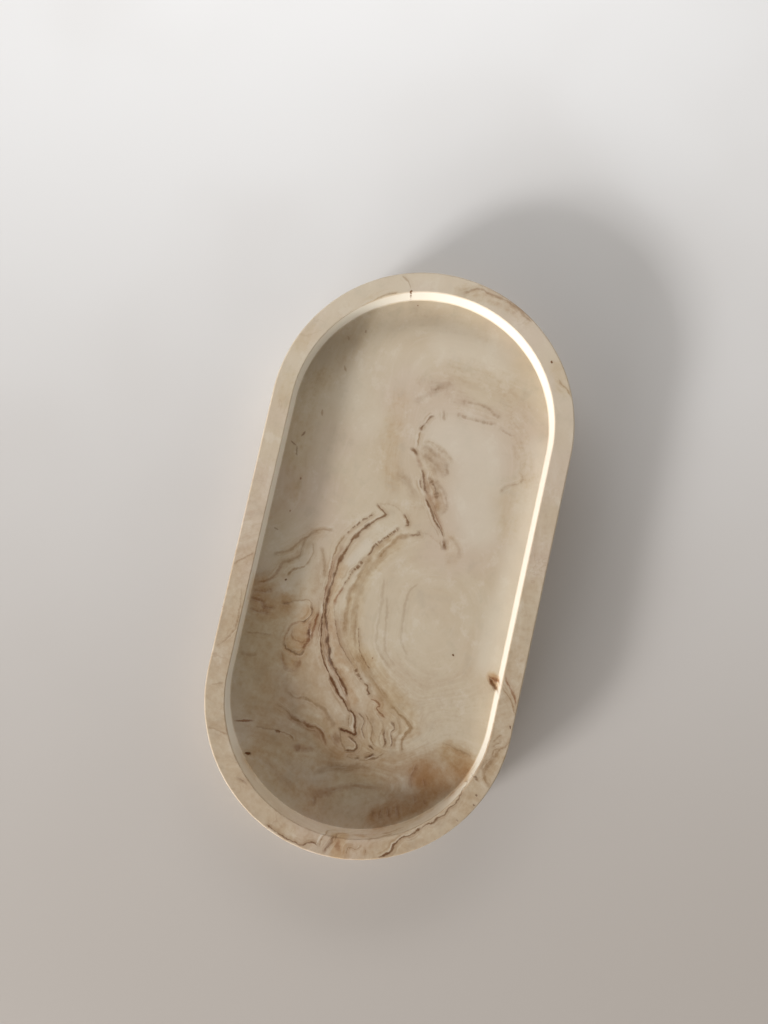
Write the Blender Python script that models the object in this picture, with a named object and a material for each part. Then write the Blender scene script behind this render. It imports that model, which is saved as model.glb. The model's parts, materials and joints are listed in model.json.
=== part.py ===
"""Oval serving tray, cast in one piece in marbled stone, on four stick-on bumper feet.

Units are metres and +Z is up. The origin is the middle of the tray's footprint, at the height of
the surface that it stands on. +X runs along the tray's length and +Y across it.
"""

import math

import bmesh
import bpy
from mathutils import Vector

# Cast body
TRAY_LENGTH = 0.202
TRAY_WIDTH = 0.105
RIM_WIDTH = 0.0069
WELL_DEPTH = 0.0085
FLOOR_THICKNESS = 0.0068
WELL_DRAFT = 0.0003
OUTER_RIM_FILLET = 0.0006
INNER_RIM_FILLET = 0.0004
WELL_FLOOR_FILLET = 0.0005
BASE_EDGE_FILLET = 0.0008

# Bumper feet: each has a rounded edge round its tread and a straight band above that
FOOT_DIAMETER = 0.010
FOOT_ROUNDING = 0.0012
FOOT_BAND_HEIGHT = 0.0005
FOOT_EDGE_MARGIN = 0.0065
FOOT_ARC_ANGLE = math.radians(42.0)
ADHESIVE_GAP = 0.0003

# Facets
END_ARC_STEPS = 40
FILLET_STEPS = 3
FOOT_SIDES = 28
FOOT_ROUNDING_STEPS = 4
SHARP_ANGLE = math.radians(32.0)
LEVEL_TOLERANCE = 0.00003
MERGE_DISTANCE = 0.000003

# Sizes and heights that follow from those above
END_RADIUS = TRAY_WIDTH / 2
END_CENTRE_X = TRAY_LENGTH / 2 - END_RADIUS
FOOT_RADIUS = FOOT_DIAMETER / 2
FOOT_HEIGHT = FOOT_ROUNDING + FOOT_BAND_HEIGHT
FOOT_ARC_RADIUS = END_RADIUS - FOOT_EDGE_MARGIN - FOOT_RADIUS
BASE_Z = FOOT_HEIGHT + ADHESIVE_GAP
WELL_FLOOR_Z = BASE_Z + FLOOR_THICKNESS
RIM_Z = WELL_FLOOR_Z + WELL_DEPTH


def clear_scene():
    for old in list(bpy.data.objects):
        bpy.data.objects.remove(old, do_unlink=True)


def make_material(name, colour, roughness):
    material = bpy.data.materials.new(name)
    material.use_nodes = True
    shader = material.node_tree.nodes["Principled BSDF"]
    shader.inputs["Base Color"].default_value = (*colour, 1.0)
    shader.inputs["Roughness"].default_value = roughness
    shader.inputs["Metallic"].default_value = 0.0
    return material


def finish_mesh(bm, name, material):
    """Turn a bmesh into a smooth-shaded mesh with its faces pointing out."""
    bmesh.ops.recalc_face_normals(bm, faces=bm.faces)
    mesh = bpy.data.meshes.new(name)
    bm.to_mesh(mesh)
    bm.free()
    mesh.materials.append(material)
    mesh.shade_smooth()
    mesh.set_sharp_from_angle(angle=SHARP_ANGLE)
    return mesh


def add_object(name, mesh, location=(0.0, 0.0, 0.0)):
    item = bpy.data.objects.new(name, mesh)
    item.location = location
    bpy.context.scene.collection.objects.link(item)


def racetrack_outline():
    """The tray's outline, counter-clockwise: two half circles joined by straight sides."""
    points = []
    for side in (1, -1):
        for step in range(END_ARC_STEPS + 1):
            angle = math.pi * step / END_ARC_STEPS - math.pi / 2
            x = END_CENTRE_X + END_RADIUS * math.cos(angle)
            y = END_RADIUS * math.sin(angle)
            points.append((side * x, side * y))
    return points


def is_on_outline(point):
    """Whether a point is nearer to the tray's outer wall than to the wall of its well."""
    past_straight = max(abs(point.x) - END_CENTRE_X, 0.0)
    return math.hypot(past_straight, point.y) > END_RADIUS - RIM_WIDTH / 2


def corner_loop(bm, height, on_outline):
    """The closed run of sharp edges at a height, round the outer wall or round the well."""
    found = []
    for edge in bm.edges:
        level = all(abs(vert.co.z - height) < LEVEL_TOLERANCE for vert in edge.verts)
        right_wall = all(is_on_outline(vert.co) == on_outline for vert in edge.verts)
        if level and right_wall and edge.calc_face_angle(0.0) > SHARP_ANGLE:
            found.append(edge)
    return found


def round_corner(bm, height, on_outline, radius):
    bmesh.ops.bevel(
        bm, geom=corner_loop(bm, height, on_outline), offset=radius, segments=FILLET_STEPS,
        profile=0.5, affect="EDGES", offset_type="OFFSET", clamp_overlap=True)


def build_tray_body():
    """A racetrack slab, raised from its outline, with the well sunk inside its rim."""
    bm = bmesh.new()
    base = bm.faces.new([bm.verts.new((x, y, BASE_Z)) for x, y in racetrack_outline()])
    raised = bmesh.ops.extrude_face_region(bm, geom=[base])["geom"]
    top_verts = [item for item in raised if isinstance(item, bmesh.types.BMVert)]
    bmesh.ops.translate(bm, verts=top_verts, vec=Vector((0.0, 0.0, RIM_Z - BASE_Z)))
    bmesh.ops.recalc_face_normals(bm, faces=bm.faces)

    top = max(bm.faces, key=lambda face: face.calc_center_median().z)
    bmesh.ops.inset_region(bm, faces=[top], thickness=RIM_WIDTH, use_even_offset=True)
    bmesh.ops.inset_region(
        bm, faces=[top], thickness=WELL_DRAFT, depth=-WELL_DEPTH, use_even_offset=True)

    round_corner(bm, BASE_Z, True, BASE_EDGE_FILLET)
    round_corner(bm, RIM_Z, True, OUTER_RIM_FILLET)
    round_corner(bm, RIM_Z, False, INNER_RIM_FILLET)
    round_corner(bm, WELL_FLOOR_Z, False, WELL_FLOOR_FILLET)

    stone = make_material("cast_stone", colour=(0.61, 0.52, 0.40), roughness=0.48)
    add_object("tray_body", finish_mesh(bm, "tray_body", stone))


def foot_profile():
    """Half section of a bumper, from its flat tread up to its stuck face, as (radius, height)."""
    tread_radius = FOOT_RADIUS - FOOT_ROUNDING
    profile = [(0.0, 0.0)]
    for step in range(FOOT_ROUNDING_STEPS + 1):
        angle = math.pi / 2 * step / FOOT_ROUNDING_STEPS
        radius = tread_radius + FOOT_ROUNDING * math.sin(angle)
        profile.append((radius, FOOT_ROUNDING * (1.0 - math.cos(angle))))
    profile.append((FOOT_RADIUS, FOOT_HEIGHT))
    profile.append((0.0, FOOT_HEIGHT))
    return profile


def build_foot_mesh():
    """A bumper, turned from its half section about its own axis."""
    bm = bmesh.new()
    verts = [bm.verts.new((radius, 0.0, height)) for radius, height in foot_profile()]
    edges = [bm.edges.new(pair) for pair in zip(verts, verts[1:])]
    bmesh.ops.spin(
        bm, geom=verts + edges, cent=(0.0, 0.0, 0.0), axis=(0.0, 0.0, 1.0),
        angle=2 * math.pi, steps=FOOT_SIDES, use_merge=True)
    bmesh.ops.remove_doubles(bm, verts=bm.verts, dist=MERGE_DISTANCE)
    rubber = make_material("bumper_rubber", colour=(0.55, 0.54, 0.52), roughness=0.35)
    return finish_mesh(bm, "bumper_foot", rubber)


def build_feet():
    """Four bumpers under the end arcs, set in from the tray's edge."""
    mesh = build_foot_mesh()
    x = END_CENTRE_X + FOOT_ARC_RADIUS * math.cos(FOOT_ARC_ANGLE)
    y = FOOT_ARC_RADIUS * math.sin(FOOT_ARC_ANGLE)
    for row, side_y in (("front", -1), ("back", 1)):
        for end, side_x in (("left", -1), ("right", 1)):
            add_object(f"foot_{row}_{end}", mesh, (side_x * x, side_y * y, 0.0))


clear_scene()
build_tray_body()
build_feet()
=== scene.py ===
"""Looks of the oval tray: pale cast stone with brown marbling, on four clear rubber bumpers.

Units are metres, or millimetres where a name ends in _MM. +X runs along the tray and +Y across it.
The body is rebuilt in its place as a fine mesh, whose vertices carry the marbling: how far each is
from the veins of a few layers, how deep the stain washes and the washes of painted shade lie there,
how much paler it is, for pale patches and for painted light, and which way the pour flowed.
The stone's material turns those numbers into pigment and painted light and shade, and noise breaks up what
they draw.
"""

import json
import math

import bmesh
import bpy
import numpy as np
from mathutils import Matrix, Vector


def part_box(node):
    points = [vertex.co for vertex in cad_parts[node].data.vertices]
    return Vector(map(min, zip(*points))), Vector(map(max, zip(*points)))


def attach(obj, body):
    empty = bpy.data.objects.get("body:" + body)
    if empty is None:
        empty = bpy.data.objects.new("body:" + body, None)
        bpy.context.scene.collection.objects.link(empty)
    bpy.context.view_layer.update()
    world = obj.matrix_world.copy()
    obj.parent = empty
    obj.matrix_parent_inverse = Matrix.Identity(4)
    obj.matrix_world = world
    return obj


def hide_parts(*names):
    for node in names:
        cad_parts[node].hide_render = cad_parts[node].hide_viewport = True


MM = 0.001

# Section of the tray's body; its length, width and heights come from the frame
RIM_WIDTH_MM = 6.9
WELL_DRAFT_MM = 0.3
OUTER_RIM_FILLET_MM = 0.6
INNER_RIM_FILLET_MM = 0.25
WELL_FLOOR_FILLET_MM = 0.25
BASE_EDGE_FILLET_MM = 0.8

# Spacing of the fine mesh
STATION_STEP_MM = 0.87
FLOOR_STEP_MM = 0.7
WALL_STEP_MM = 0.9
UNDERSIDE_STEP_MM = 4.0
FILLET_STEPS = 4
SHARPEN_MM = 0.05
TOUCH_MM = 0.001
MERGE_DISTANCE = 0.000003
TINY = 1e-6

# Colour sockets of Blender's mix node, by number because its number sockets have the same names
MIX_COLOURS_IN = (6, 7)
MIX_COLOUR_OUT = 2

# Veins: how far each reaches to its sides, how it tapers, and the wash and faint lines beside it
LAYERS = 6
VEIN_REACH_MM = 3.2
VEIN_FULL_REACH_MM = 1.5
VEIN_TAPER_MM = 0.5
TAPER_PER_WIDTH = 1.3
MOST_TAPER = 0.4
IDLE_WIDTH_MM = 0.5
PATH_ROUNDS = 2
SOAK_GAMMA = 0.4
SOAK_REACH_MM = 2.2
SOAK_START_MM = (-0.5, 0.1)
SOAK_SHARE = 0.46
ECHO_BAND = (0.50, 0.64)
ECHO_SHARE = 0.55
PALE_LINE_BAND = (0.46, 0.34)
PALE_LINE_SHARE = 0.5
LAYERING_PER_MM = (1.15, 0.07)
NEAR_VEIN_MM = (3.0, 0.5)

# Vein cores: noise along the vein makes it swell, breaks it into beads and mottles it
SEED_STEPS = (20.0, 40.0)
SWELL_PER_MM = 0.32
SWELL_BAND = (0.28, 0.7)
HALF_WIDTH_SHARE = (0.22, 0.62)
CORE_EDGE_SHARE = 0.3
CORE_EDGE_MM = 0.02
BEADS_PER_MM = 0.95
BEAD_BAND = (0.42, 0.56)
CORE_GRAIN_BAND = (0.2, 0.7)
CORE_GRAIN = (0.65, 1.0)

# Wobbles of the veins' lines: noise scale per mm, its detail, and the reach from side to side in mm
WOBBLES = ((0.3, 1.0, 1.1), (1.1, 2.0, 0.7))

# Stain washes, washes of painted shade and pale patches: where their edge ends and where they are full, as
# shares of the radius
WASH_EDGE = 1.4
WASH_CORE = 0.3
PALE_EDGE = 1.3
PALE_CORE = 0.3

# Flow: how loosely its levels follow the contours, and how fast they rise up the walls
FLOW_SMOOTHING = 8.0
WALL_FLOW = 0.9

# Marbling of the walls and the rim, how it fades down the outer wall, and the light and shade painted on the
# inner walls and on the rim's top
WALL_FADE_MM = 8.0
WALL_FULL_MM = 0.5
WALL_BAND_MM = (0.2, 0.8)
OUTER_FADE_MM = 7.0
OUTER_FADE_SHARE = 1.2
OUTER_FADE_SWING = 0.8
OUTER_FADE_WAVES = (0.21, 0.17)
UNDERSIDE_CLEAR_MM = 0.5
WALL_SWAY_MM = 2.0
WALL_SWAY_WAVES = (0.13, 0.19, 0.55)
RIM_WILDNESS = 0.2
WILD_FADE_MM = 4.0
# Painted light on the inner walls: paler stone, and between pale levels 1 and 2 the painted highlight's
# white, fading out towards the lower end
INNER_WALL_PAINTED_LIGHT = 2.0
WALL_PAINTED_LIGHT_BAND_MM = (-92.0, -62.0)
# Painted shade and light on the rim's top: tan and smoke washes darken it towards the lower end, and paler
# stone lightens it towards the upper end, as the light grows along the tray
RIM_PAINTED_SHADE = (0.14, 0.48, 0.0)
RIM_PAINTED_SHADE_BAND_MM = (75.0, -60.0)
RIM_PAINTED_LIGHT = 0.5
RIM_PAINTED_LIGHT_BAND_MM = (10.0, 85.0)

# Where each pigment stands in the colour ramp that tints the veins
UMBER = 0.0
OLIVE = 0.33
RUST = 0.66
SMOKE = 1.0

# Surfaces: roughness from least to most, specular level, and relief as strength and depth in metres
STONE_ROUGHNESS = (0.54, 0.66)
STONE_SPECULAR = 0.3
STONE_RELIEF = (0.25, 0.00012)
GRAIN_PER_MM = 3.2
GRAIN_BAND = (0.2, 0.8)
GRAIN_RELIEF = 0.12
MOTTLE_RELIEF = 0.3
PINHOLE_RELIEF = -1.0
RUBBER_ROUGHNESS = (0.22, 0.45)
RUBBER_RELIEF = (0.2, 0.00005)
RUBBER_CLOUDS_PER_MM = 0.35
RUBBER_CLOUD_BAND = (0.35, 0.65)
DUST_PER_MM = 2.6
DUST_BAND = (0.58, 0.75)
DUST_DEPTH = 0.4
TABLE_ROUGHNESS = (0.76, 0.8)
TABLE_SPECULAR = 0.2
HAZE_PER_MM = 0.01
HAZE_BAND = (0.4, 0.7)
HAZE_DEPTH = 0.12
MIDDLE_BAND = (0.3, 0.7)

# Dots: cells per mm, and the radius as a share of a cell
PINHOLES = (0.16, 0.045)
SPECKS = (0.085, 0.028)
SPECK_DEPTH = 0.8
DOT_CORE = 0.45

# Flecks: where their edge ends and where they are full, in half sizes, and how deep they go
FLECK_EDGE = (1.4, 0.6)
FLECK_DEPTH_MM = 100.0

# Camera, in metres and degrees; its frame is upright and its long side is the sensor's
CAMERA_PLACE = (0.0025, -0.0013, 0.2796)
CAMERA_AIM = (0.0156, 0.0058, 0.0173)
CAMERA_ROLL = 12.65
CAMERA_LENS = 27.07
CAMERA_SENSOR = 36.0

# Each lamp: name, place and size in metres, and power in watts
LAMPS = (
    ("key", (-1.82, 1.65, 0.75), (0.50, 0.26), 63.0),
    ("low_key", (-2.15, 1.3, 0.60), (1.9, 0.26), 56.0),
    ("far_window", (0.42, 0.12, 0.26), (0.5, 0.12), 0.97),
)
LAMP_AIM = (0.0, 0.0, 0.01)

# Surround: how strong it is low down and high up, and between which heights of its unit sphere
WORLD_LOW = 1.25
WORLD_HIGH = 0.11
WORLD_BAND = (0.25, 0.75)
WORLD_COLOUR = (1.0, 0.955, 0.89, 1.0)
BACKDROP = 0.86

# Table: where it turns paler along the picture as painted light, and how far out it turns into the backdrop
TABLE_REACH = 3.0
TABLE_PAINTED_LIGHT_BAND_MM = (-165.0, 225.0)
TABLE_END_MM = (270.0, 650.0)

# In the tables, left, right, upper and lower are as the camera sees the tray
# Each vein: pigment, width in mm, strength, how far it breaks into beads, and points (x, y) in mm
FLOOR_VEINS = (
    # The dark line of the long S, from its hairpin down to its curled end
    (UMBER, 0.7, 0.85, 0.0, ((18.6, 9.1), (17, 7.5), (16, 6.2), (15.1, 5.2), (14.3, 6.3), (12.8, 7.9),
        (11, 9.6), (9, 11.7))),
    (OLIVE, 0.5, 0.25, 0.6, ((18.7, 8.4), (19.1, 5), (18.6, 2), (16.8, -0.8))),
    (OLIVE, 0.5, 0.15, 0.6, ((12.4, -7), (11.6, -11.5), (9, -16.4))),
    (UMBER, 1.1, 0.9, 0.0, ((11.4, 9.3), (8.5, 12.1), (6.2, 13.3), (4.1, 14.6), (1.2, 15.6),
        (-1.3, 16.7), (-4.3, 17.5), (-7.2, 17.9), (-10.5, 18.3))),
    (UMBER, 0.85, 0.9, 0.0, ((-8.5, 18.1), (-14.2, 18.5), (-17.5, 18.7), (-20.8, 18.5), (-23.8, 18.1),
        (-26.7, 17), (-29.5, 15.9))),
    (UMBER, 0.9, 0.9, 0.1, ((-28.6, 16.4), (-31.3, 15.6), (-33, 15.5), (-34.2, 14.6), (-35.4, 13.9),
        (-37.7, 13.6), (-39.2, 12.7))),
    (UMBER, 1.0, 1.15, 0.1, ((-37.4, 13.9), (-41, 11), (-43.3, 8.9), (-45.3, 7), (-47.2, 5.6), (-50, 4.3))),
    (RUST, 1.8, 0.3, 0.0, ((-14, 19), (-24, 18), (-30, 16.8), (-36, 15.2), (-41, 12.2), (-45.5, 8.6),
        (-50, 5.2), (-54, 2))),
    (UMBER, 0.85, 1.2, 0.0, ((-53.2, 3), (-54.5, 1.1), (-56.2, 0.4), (-58.5, -0.2), (-60.3, -0.7),
        (-61.7, -1.4), (-61.6, -0.3), (-61.2, 1.4), (-61, 3.5), (-60.5, 5.4))),
    (UMBER, 0.65, 0.9, 0.1, ((-62.5, 1.6), (-63.7, -1.1), (-64.7, -2.3), (-66, -2.5), (-66.9, -1.7),
        (-67.3, -0.3), (-67.9, 1.6))),
    # The thin line outside it, dotted where it starts
    (UMBER, 0.7, 0.75, 1.0, ((15.5, 8.8), (13, 10.8), (12, 12.3), (10.5, 13.5), (8.3, 15.4), (5.3, 17.5))),
    (OLIVE, 0.5, 0.8, 0.1, ((5.3, 17.5), (2, 19), (-0.5, 19.6), (-4, 19.9))),
    (RUST, 0.5, 0.7, 0.5, ((-3, 19.9), (-7.2, 20), (-12.5, 20), (-20.5, 19.6))),
    (RUST, 1.6, 0.45, 0.0, ((2, 17.4), (-6, 19.2), (-12, 19.3), (-18, 19.4))),
    (UMBER, 0.5, 1.0, 0.0, ((-19, 19.8), (-23.8, 19.1), (-26.7, 18.7), (-30.8, 18.1), (-33.8, 17.5),
        (-36.7, 16.4), (-39.2, 15.2), (-41.7, 13.5), (-43.8, 11.8))),
    (UMBER, 0.9, 1.2, 0.0, ((-43, 12.6), (-45, 11.2), (-47.6, 9.1), (-49.9, 7), (-52, 5), (-53.9, 3.1),
        (-54.7, 1.7))),
    # The beaded line on the inner side of the S
    (UMBER, 0.7, 0.9, 0.0, ((17.1, -0.7), (15.8, -1.7), (14.3, -2.9), (13.5, -3.2), (12.5, -2))),
    (UMBER, 1.0, 0.95, 1.0, ((12, -0.9), (11.2, -0.1), (9.3, 1.7), (7.4, 3.3), (5.3, 5.4), (2.6, 7))),
    (UMBER, 0.7, 0.9, 0.2, ((4.8, 5.9), (2.8, 6.9), (1.2, 7.4), (-0.5, 8.8))),
    (UMBER, 0.9, 0.85, 0.8, ((-0.5, 8.8), (-2.4, 9.7), (-4.3, 10.4), (-5.9, 11.7), (-8, 12.7),
        (-10.9, 13.8), (-12.5, 14.1))),
    (RUST, 0.8, 0.8, 0.2, ((-12, 14), (-14.6, 15), (-16.7, 15.8), (-20, 15.7))),
    (OLIVE, 0.6, 0.5, 0.0, ((-19, 15.8), (-22, 15.3), (-24.5, 14.6))),
    (UMBER, 0.5, 0.5, 0.2, ((-23.8, 14.8), (-27.5, 13.3), (-30, 12.3), (-32.5, 10.6), (-34.8, 8.9),
        (-36.7, 6.8), (-38.3, 5))),
    (UMBER, 0.9, 0.85, 1.0, ((-38, 5.3), (-39.2, 3.9), (-41.3, 2.3), (-43.7, -0.3))),
    (UMBER, 0.7, 0.9, 0.0, ((-43.4, 0.2), (-44.7, -1.7), (-45.8, -1.9), (-46.9, -3), (-47.5, -2))),
    (RUST, 0.6, 0.85, 0.0, ((-48.2, -3.4), (-48.7, -5.7), (-49.3, -6.9), (-50.3, -7.2), (-51, -6.6),
        (-52, -7.5), (-54.1, -10.5))),
    (UMBER, 0.6, 0.8, 0.2, ((-54.5, -11.8), (-55.1, -13.2), (-56.6, -14.1), (-57.6, -13.2), (-58.9, -13),
        (-61.6, -14.2), (-63.2, -13.6))),
    (UMBER, 0.7, 0.85, 0.4, ((-57.2, -10.4), (-59, -10.7), (-60.8, -11.1), (-62.4, -11.9), (-64.2, -11.2))),
    (OLIVE, 1.2, 0.75, 0.0, ((-48.8, -10.6), (-51.2, -14), (-52.6, -16.8), (-55.3, -19.4),
        (-57.4, -18.2), (-59.9, -17.5), (-62, -17.8), (-64.5, -18.5))),
    # Short lines and curls at the lower end of the S
    (OLIVE, 0.4, 0.7, 0.0, ((-55, 2.5), (-57, 2.2), (-59.4, 1.8))),
    (UMBER, 0.6, 0.65, 0.2, ((-53.8, -0.3), (-55.1, -1.9), (-56.4, -3), (-58.3, -3.1), (-59.9, -3.3),
        (-62.5, -4.9))),
    (SMOKE, 1.8, 0.4, 0.0, ((-53, -5), (-57.5, -6.6), (-61.5, -7.4))),
    (UMBER, 0.6, 0.9, 0.0, ((-64, -6), (-64.6, -7.2), (-65.5, -8.9))),
    (UMBER, 0.5, 0.75, 0.3, ((-69.4, -2.4), (-69.1, -4.8))),
    (UMBER, 0.8, 1.0, 0.3, ((-68.9, -5.4), (-68, -7.2), (-67.2, -8.4), (-66.5, -9.6))),
    (UMBER, 0.45, 0.65, 0.4, ((-69, -7.4), (-68.3, -9), (-67.2, -11.1))),
    (OLIVE, 0.5, 0.6, 0.3, ((-53.9, -2.9), (-55.7, -4.6), (-58.3, -6.7), (-61.8, -6.9), (-64, -8.7))),
    (OLIVE, 0.6, 0.5, 0.3, ((-52.3, -6.1), (-54.7, -8.9), (-57.2, -9.9), (-61.2, -9.4), (-63.9, -10.9))),
    (OLIVE, 0.8, 0.45, 0.2, ((-50.9, -10.2), (-53.5, -14.4), (-56.6, -16), (-60.4, -15), (-63.4, -15.3))),
    (OLIVE, 0.6, 0.5, 0.4, ((-69.6, 0.7), (-69.7, -4.7), (-67.7, -9.6), (-65.3, -12.6))),
    (OLIVE, 0.5, 0.6, 0.2, ((-61.3, 4.3), (-64.5, 3.3), (-66.7, 1.6), (-67.8, 1))),
    (RUST, 2.2, 0.45, 0.0, ((-61.6, 6.5), (-64.5, 4.9), (-66.8, 3.3))),
    # The hook, the tan bands that follow it, and where they trail off
    (UMBER, 0.7, 0.6, 0.0, ((12.4, -6.7), (11.6, -7.9), (10.7, -8.4), (10.5, -6.3), (9.7, -4.2))),
    (OLIVE, 1.5, 0.6, 0.0, ((10.3, -5.4), (9.1, -2.1), (7.4, -0.4), (5.3, 0.8), (3.7, 2.5), (1.6, 3.8),
        (-0.5, 5.6))),
    (OLIVE, 1.4, 0.55, 0.0, ((0.6, 6.4), (-2, 7.8), (-4.7, 8.8), (-7.6, 9.6), (-10.9, 10.3),
        (-13.3, 11.4), (-16.3, 11.6), (-19.2, 11.4), (-25.4, 10.6), (-29.5, 10))),
    (OLIVE, 3.0, 0.3, 0.0, ((4, 0.5), (-2, 5.2), (-7, 7.2), (-12, 8.6), (-18, 9), (-24, 8.6), (-32, 6.6))),
    (OLIVE, 0.8, 0.45, 0.2, ((-17, 7.8), (-23.3, 7.2), (-28.8, 6.4), (-33, 4.6))),
    (UMBER, 0.5, 0.6, 0.7, ((-24.6, 6), (-27.9, 5.2), (-30.8, 4.3), (-33.3, 3.5), (-35.8, 1.8), (-39, -2))),
    (OLIVE, 3.0, 0.4, 0.0, ((-33, 6), (-38, 1.5), (-43, -4), (-47, -8), (-50, -12))),
    # Faint rings round the still middle of the whorl
    (SMOKE, 1.0, 0.3, 0.0, ((-6, 1.2), (-12, 0.2), (-20, -0.4), (-27, -0.8), (-32, -3), (-37, -8))),
    (SMOKE, 0.9, 0.3, 0.0, ((-12.5, -1.1), (-17, -2.6), (-24, -3.4), (-31, -5), (-36, -10))),
    (SMOKE, 0.9, 0.3, 0.0, ((-5.5, -11.5), (-9, -8.8), (-14, -8.3), (-20, -8.8), (-27, -9.6), (-31, -13))),
    # The dark crease on the right, with its feathered edges
    (UMBER, 0.6, 0.75, 0.2, ((53.6, -3.9), (51.8, -2.3), (49.4, -1.2))),
    (UMBER, 0.9, 0.9, 0.0, ((49.9, -1.4), (48.3, -0.6), (46.6, -0.4))),
    (OLIVE, 0.6, 0.8, 0.0, ((47, -0.4), (44, -0.4), (41, -0.5))),
    (UMBER, 1.0, 0.85, 0.0, ((40.3, 2.3), (39.2, 0.2), (37.9, -1.8))),
    (RUST, 1.4, 0.45, 0.3, ((37.8, -1), (35.6, -2.4), (33.3, -3.9))),
    (UMBER, 0.8, 0.85, 0.2, ((34, -3.2), (32.6, -4.4), (31, -5), (28, -5.8), (26.4, -6.8), (25.5, -8))),
    (UMBER, 0.6, 0.8, 0.2, ((30.4, -3.8), (28.2, -4.3), (26.2, -5.6))),
    (RUST, 2.4, 0.3, 0.0, ((34, -4.4), (29, -6), (24.5, -8.4), (19, -11.8), (14, -15))),
    (UMBER, 0.65, 0.85, 0.0, ((24.2, -7), (22.4, -8.2), (20.3, -9.8), (16.5, -12.5), (14, -15),
        (11.5, -16.3))),
    (UMBER, 1.5, 1.0, 0.3, ((11.6, -16.2), (9.8, -17), (7, -17.7))),
    (RUST, 0.5, 0.5, 0.2, ((20, -10.9), (17, -13.4), (13.5, -15.8))),
    (UMBER, 1.1, 0.6, 0.5, ((32, -6.5), (30, -8), (28, -9.5), (26, -10.8), (23.6, -11.3))),
    (OLIVE, 1.1, 0.35, 0.5, ((43.2, -1.6), (43.8, -5), (42.6, -8), (41, -11), (39.6, -12.6), (37.6, -14.2))),
    (SMOKE, 1.2, 0.45, 0.4, ((42, -1.6), (41, -5), (39, -9))),
    (SMOKE, 1.2, 0.45, 0.4, ((39.4, -2.6), (37.5, -6), (35.6, -9.6))),
    (SMOKE, 1.2, 0.5, 0.5, ((38.5, -11.6), (36, -12), (34, -12.6), (32.6, -10.6))),
    (SMOKE, 1.2, 0.45, 0.5, ((31.5, -8.6), (29.5, -10.6), (27.5, -13), (24, -14.8), (21, -14.9),
        (19, -13.2))),
    (OLIVE, 1.4, 0.3, 0.2, ((13, -18), (11, -20.5), (9, -22.5), (5.4, -23.3))),
    (SMOKE, 3.0, 0.3, 0.0, ((29.5, 6), (29.2, 2), (26.4, -1), (22.5, -4.4))),
    # Soft dashes over the pale patch
    (SMOKE, 1.2, 0.6, 0.7, ((55.4, -10.6), (54.9, -16), (54.8, -20), (54.8, -26.5))),
    (SMOKE, 1.4, 0.4, 0.6, ((54.6, -26.6), (53, -29.6), (52.2, -33.6))),
    (SMOKE, 1.2, 0.45, 0.7, ((60.4, -11.6), (60.7, -19), (59.6, -22.4), (57.9, -24.4), (57, -28))),
    (SMOKE, 1.0, 0.6, 0.2, ((56.4, -6.8), (54.2, -7), (51.6, -8))),
    (SMOKE, 1.4, 0.5, 0.8, ((61.6, 0.2), (62.4, -1.8), (64, -5))),
    (SMOKE, 2.2, 0.3, 0.0, ((55.5, 4.6), (58.4, 1.6), (61.2, -1.6), (64.6, -5), (65.4, -10))),
    (SMOKE, 0.8, 0.5, 0.6, ((40, -38.5), (37, -39), (34.5, -34.5), (31.5, -32))),
    # Wavy lines that run out to the left wall
    (OLIVE, 0.9, 0.5, 0.2, ((5.9, 21.4), (5.5, 23.7), (5.1, 26.2), (3.8, 28.7), (1.8, 30.3), (0.1, 32.4),
        (-3.7, 34.9), (-4.9, 36.6), (-6.2, 39.1), (-7.4, 41))),
    (OLIVE, 0.8, 0.5, 0.2, ((4.2, 26.6), (2.8, 29.4), (0.4, 31), (-2.4, 31.6))),
    (OLIVE, 0.8, 0.6, 0.2, ((-0.6, 31.2), (-2.8, 31.4), (-5.8, 31.6), (-6.8, 33.3), (-8, 34.9),
        (-9.1, 37), (-10.8, 37.6))),
    (RUST, 0.9, 0.5, 0.2, ((-9.4, 37.2), (-12.8, 38), (-15.1, 39.5), (-17, 41.6), (-18, 44.6))),
    (OLIVE, 0.6, 0.6, 0.2, ((0.2, 28.2), (-2.8, 27.4), (-6.2, 27.8), (-8.5, 29.1))),
    (OLIVE, 0.7, 0.75, 0.3, ((-8, 28.6), (-9.3, 29.9), (-10.3, 32.4), (-11.6, 33.7), (-13.8, 34.3))),
    (OLIVE, 1.2, 0.5, 0.0, ((-0.3, 24.9), (-4.1, 23.3), (-7.8, 22), (-11.5, 21.5))),
    (RUST, 1.2, 0.6, 0.2, ((-23.6, 46), (-24, 40.8), (-25.8, 39.6), (-25.2, 35))),
    (RUST, 0.9, 0.55, 0.3, ((-22.9, 34.8), (-22.5, 30.8))),
    (RUST, 1.2, 0.45, 0.4, ((-21, 45.6), (-20.6, 41), (-18.6, 37.4))),
    (RUST, 1.2, 0.45, 0.3, ((-27, 45.6), (-27.6, 41), (-27, 36.6))),
    (OLIVE, 0.6, 0.45, 0.4, ((-34.5, 34.6), (-35, 39), (-35.6, 44.4))),
    (SMOKE, 1.2, 0.5, 0.3, ((-42.8, 45), (-43, 41), (-41.6, 38))),
    # The loop beside the S
    (OLIVE, 0.6, 0.6, 0.3, ((-23.4, 34.2), (-22.6, 32.2), (-21.2, 30), (-20.5, 27.7), (-20.1, 26),
        (-20.1, 24.5), (-21, 23.8), (-22, 23.5))),
    (UMBER, 0.6, 0.8, 0.1, ((-21, 23.8), (-22.7, 23.1), (-23.4, 22.9), (-24.8, 23.2), (-26.3, 24.2),
        (-27.5, 25.3), (-27.9, 26.6))),
    (RUST, 0.7, 0.5, 0.4, ((-27.6, 26), (-28.5, 27.4), (-29.3, 28.9), (-30.9, 29.5), (-32.2, 29.6),
        (-33.9, 30.2), (-36.4, 30.3))),
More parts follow.
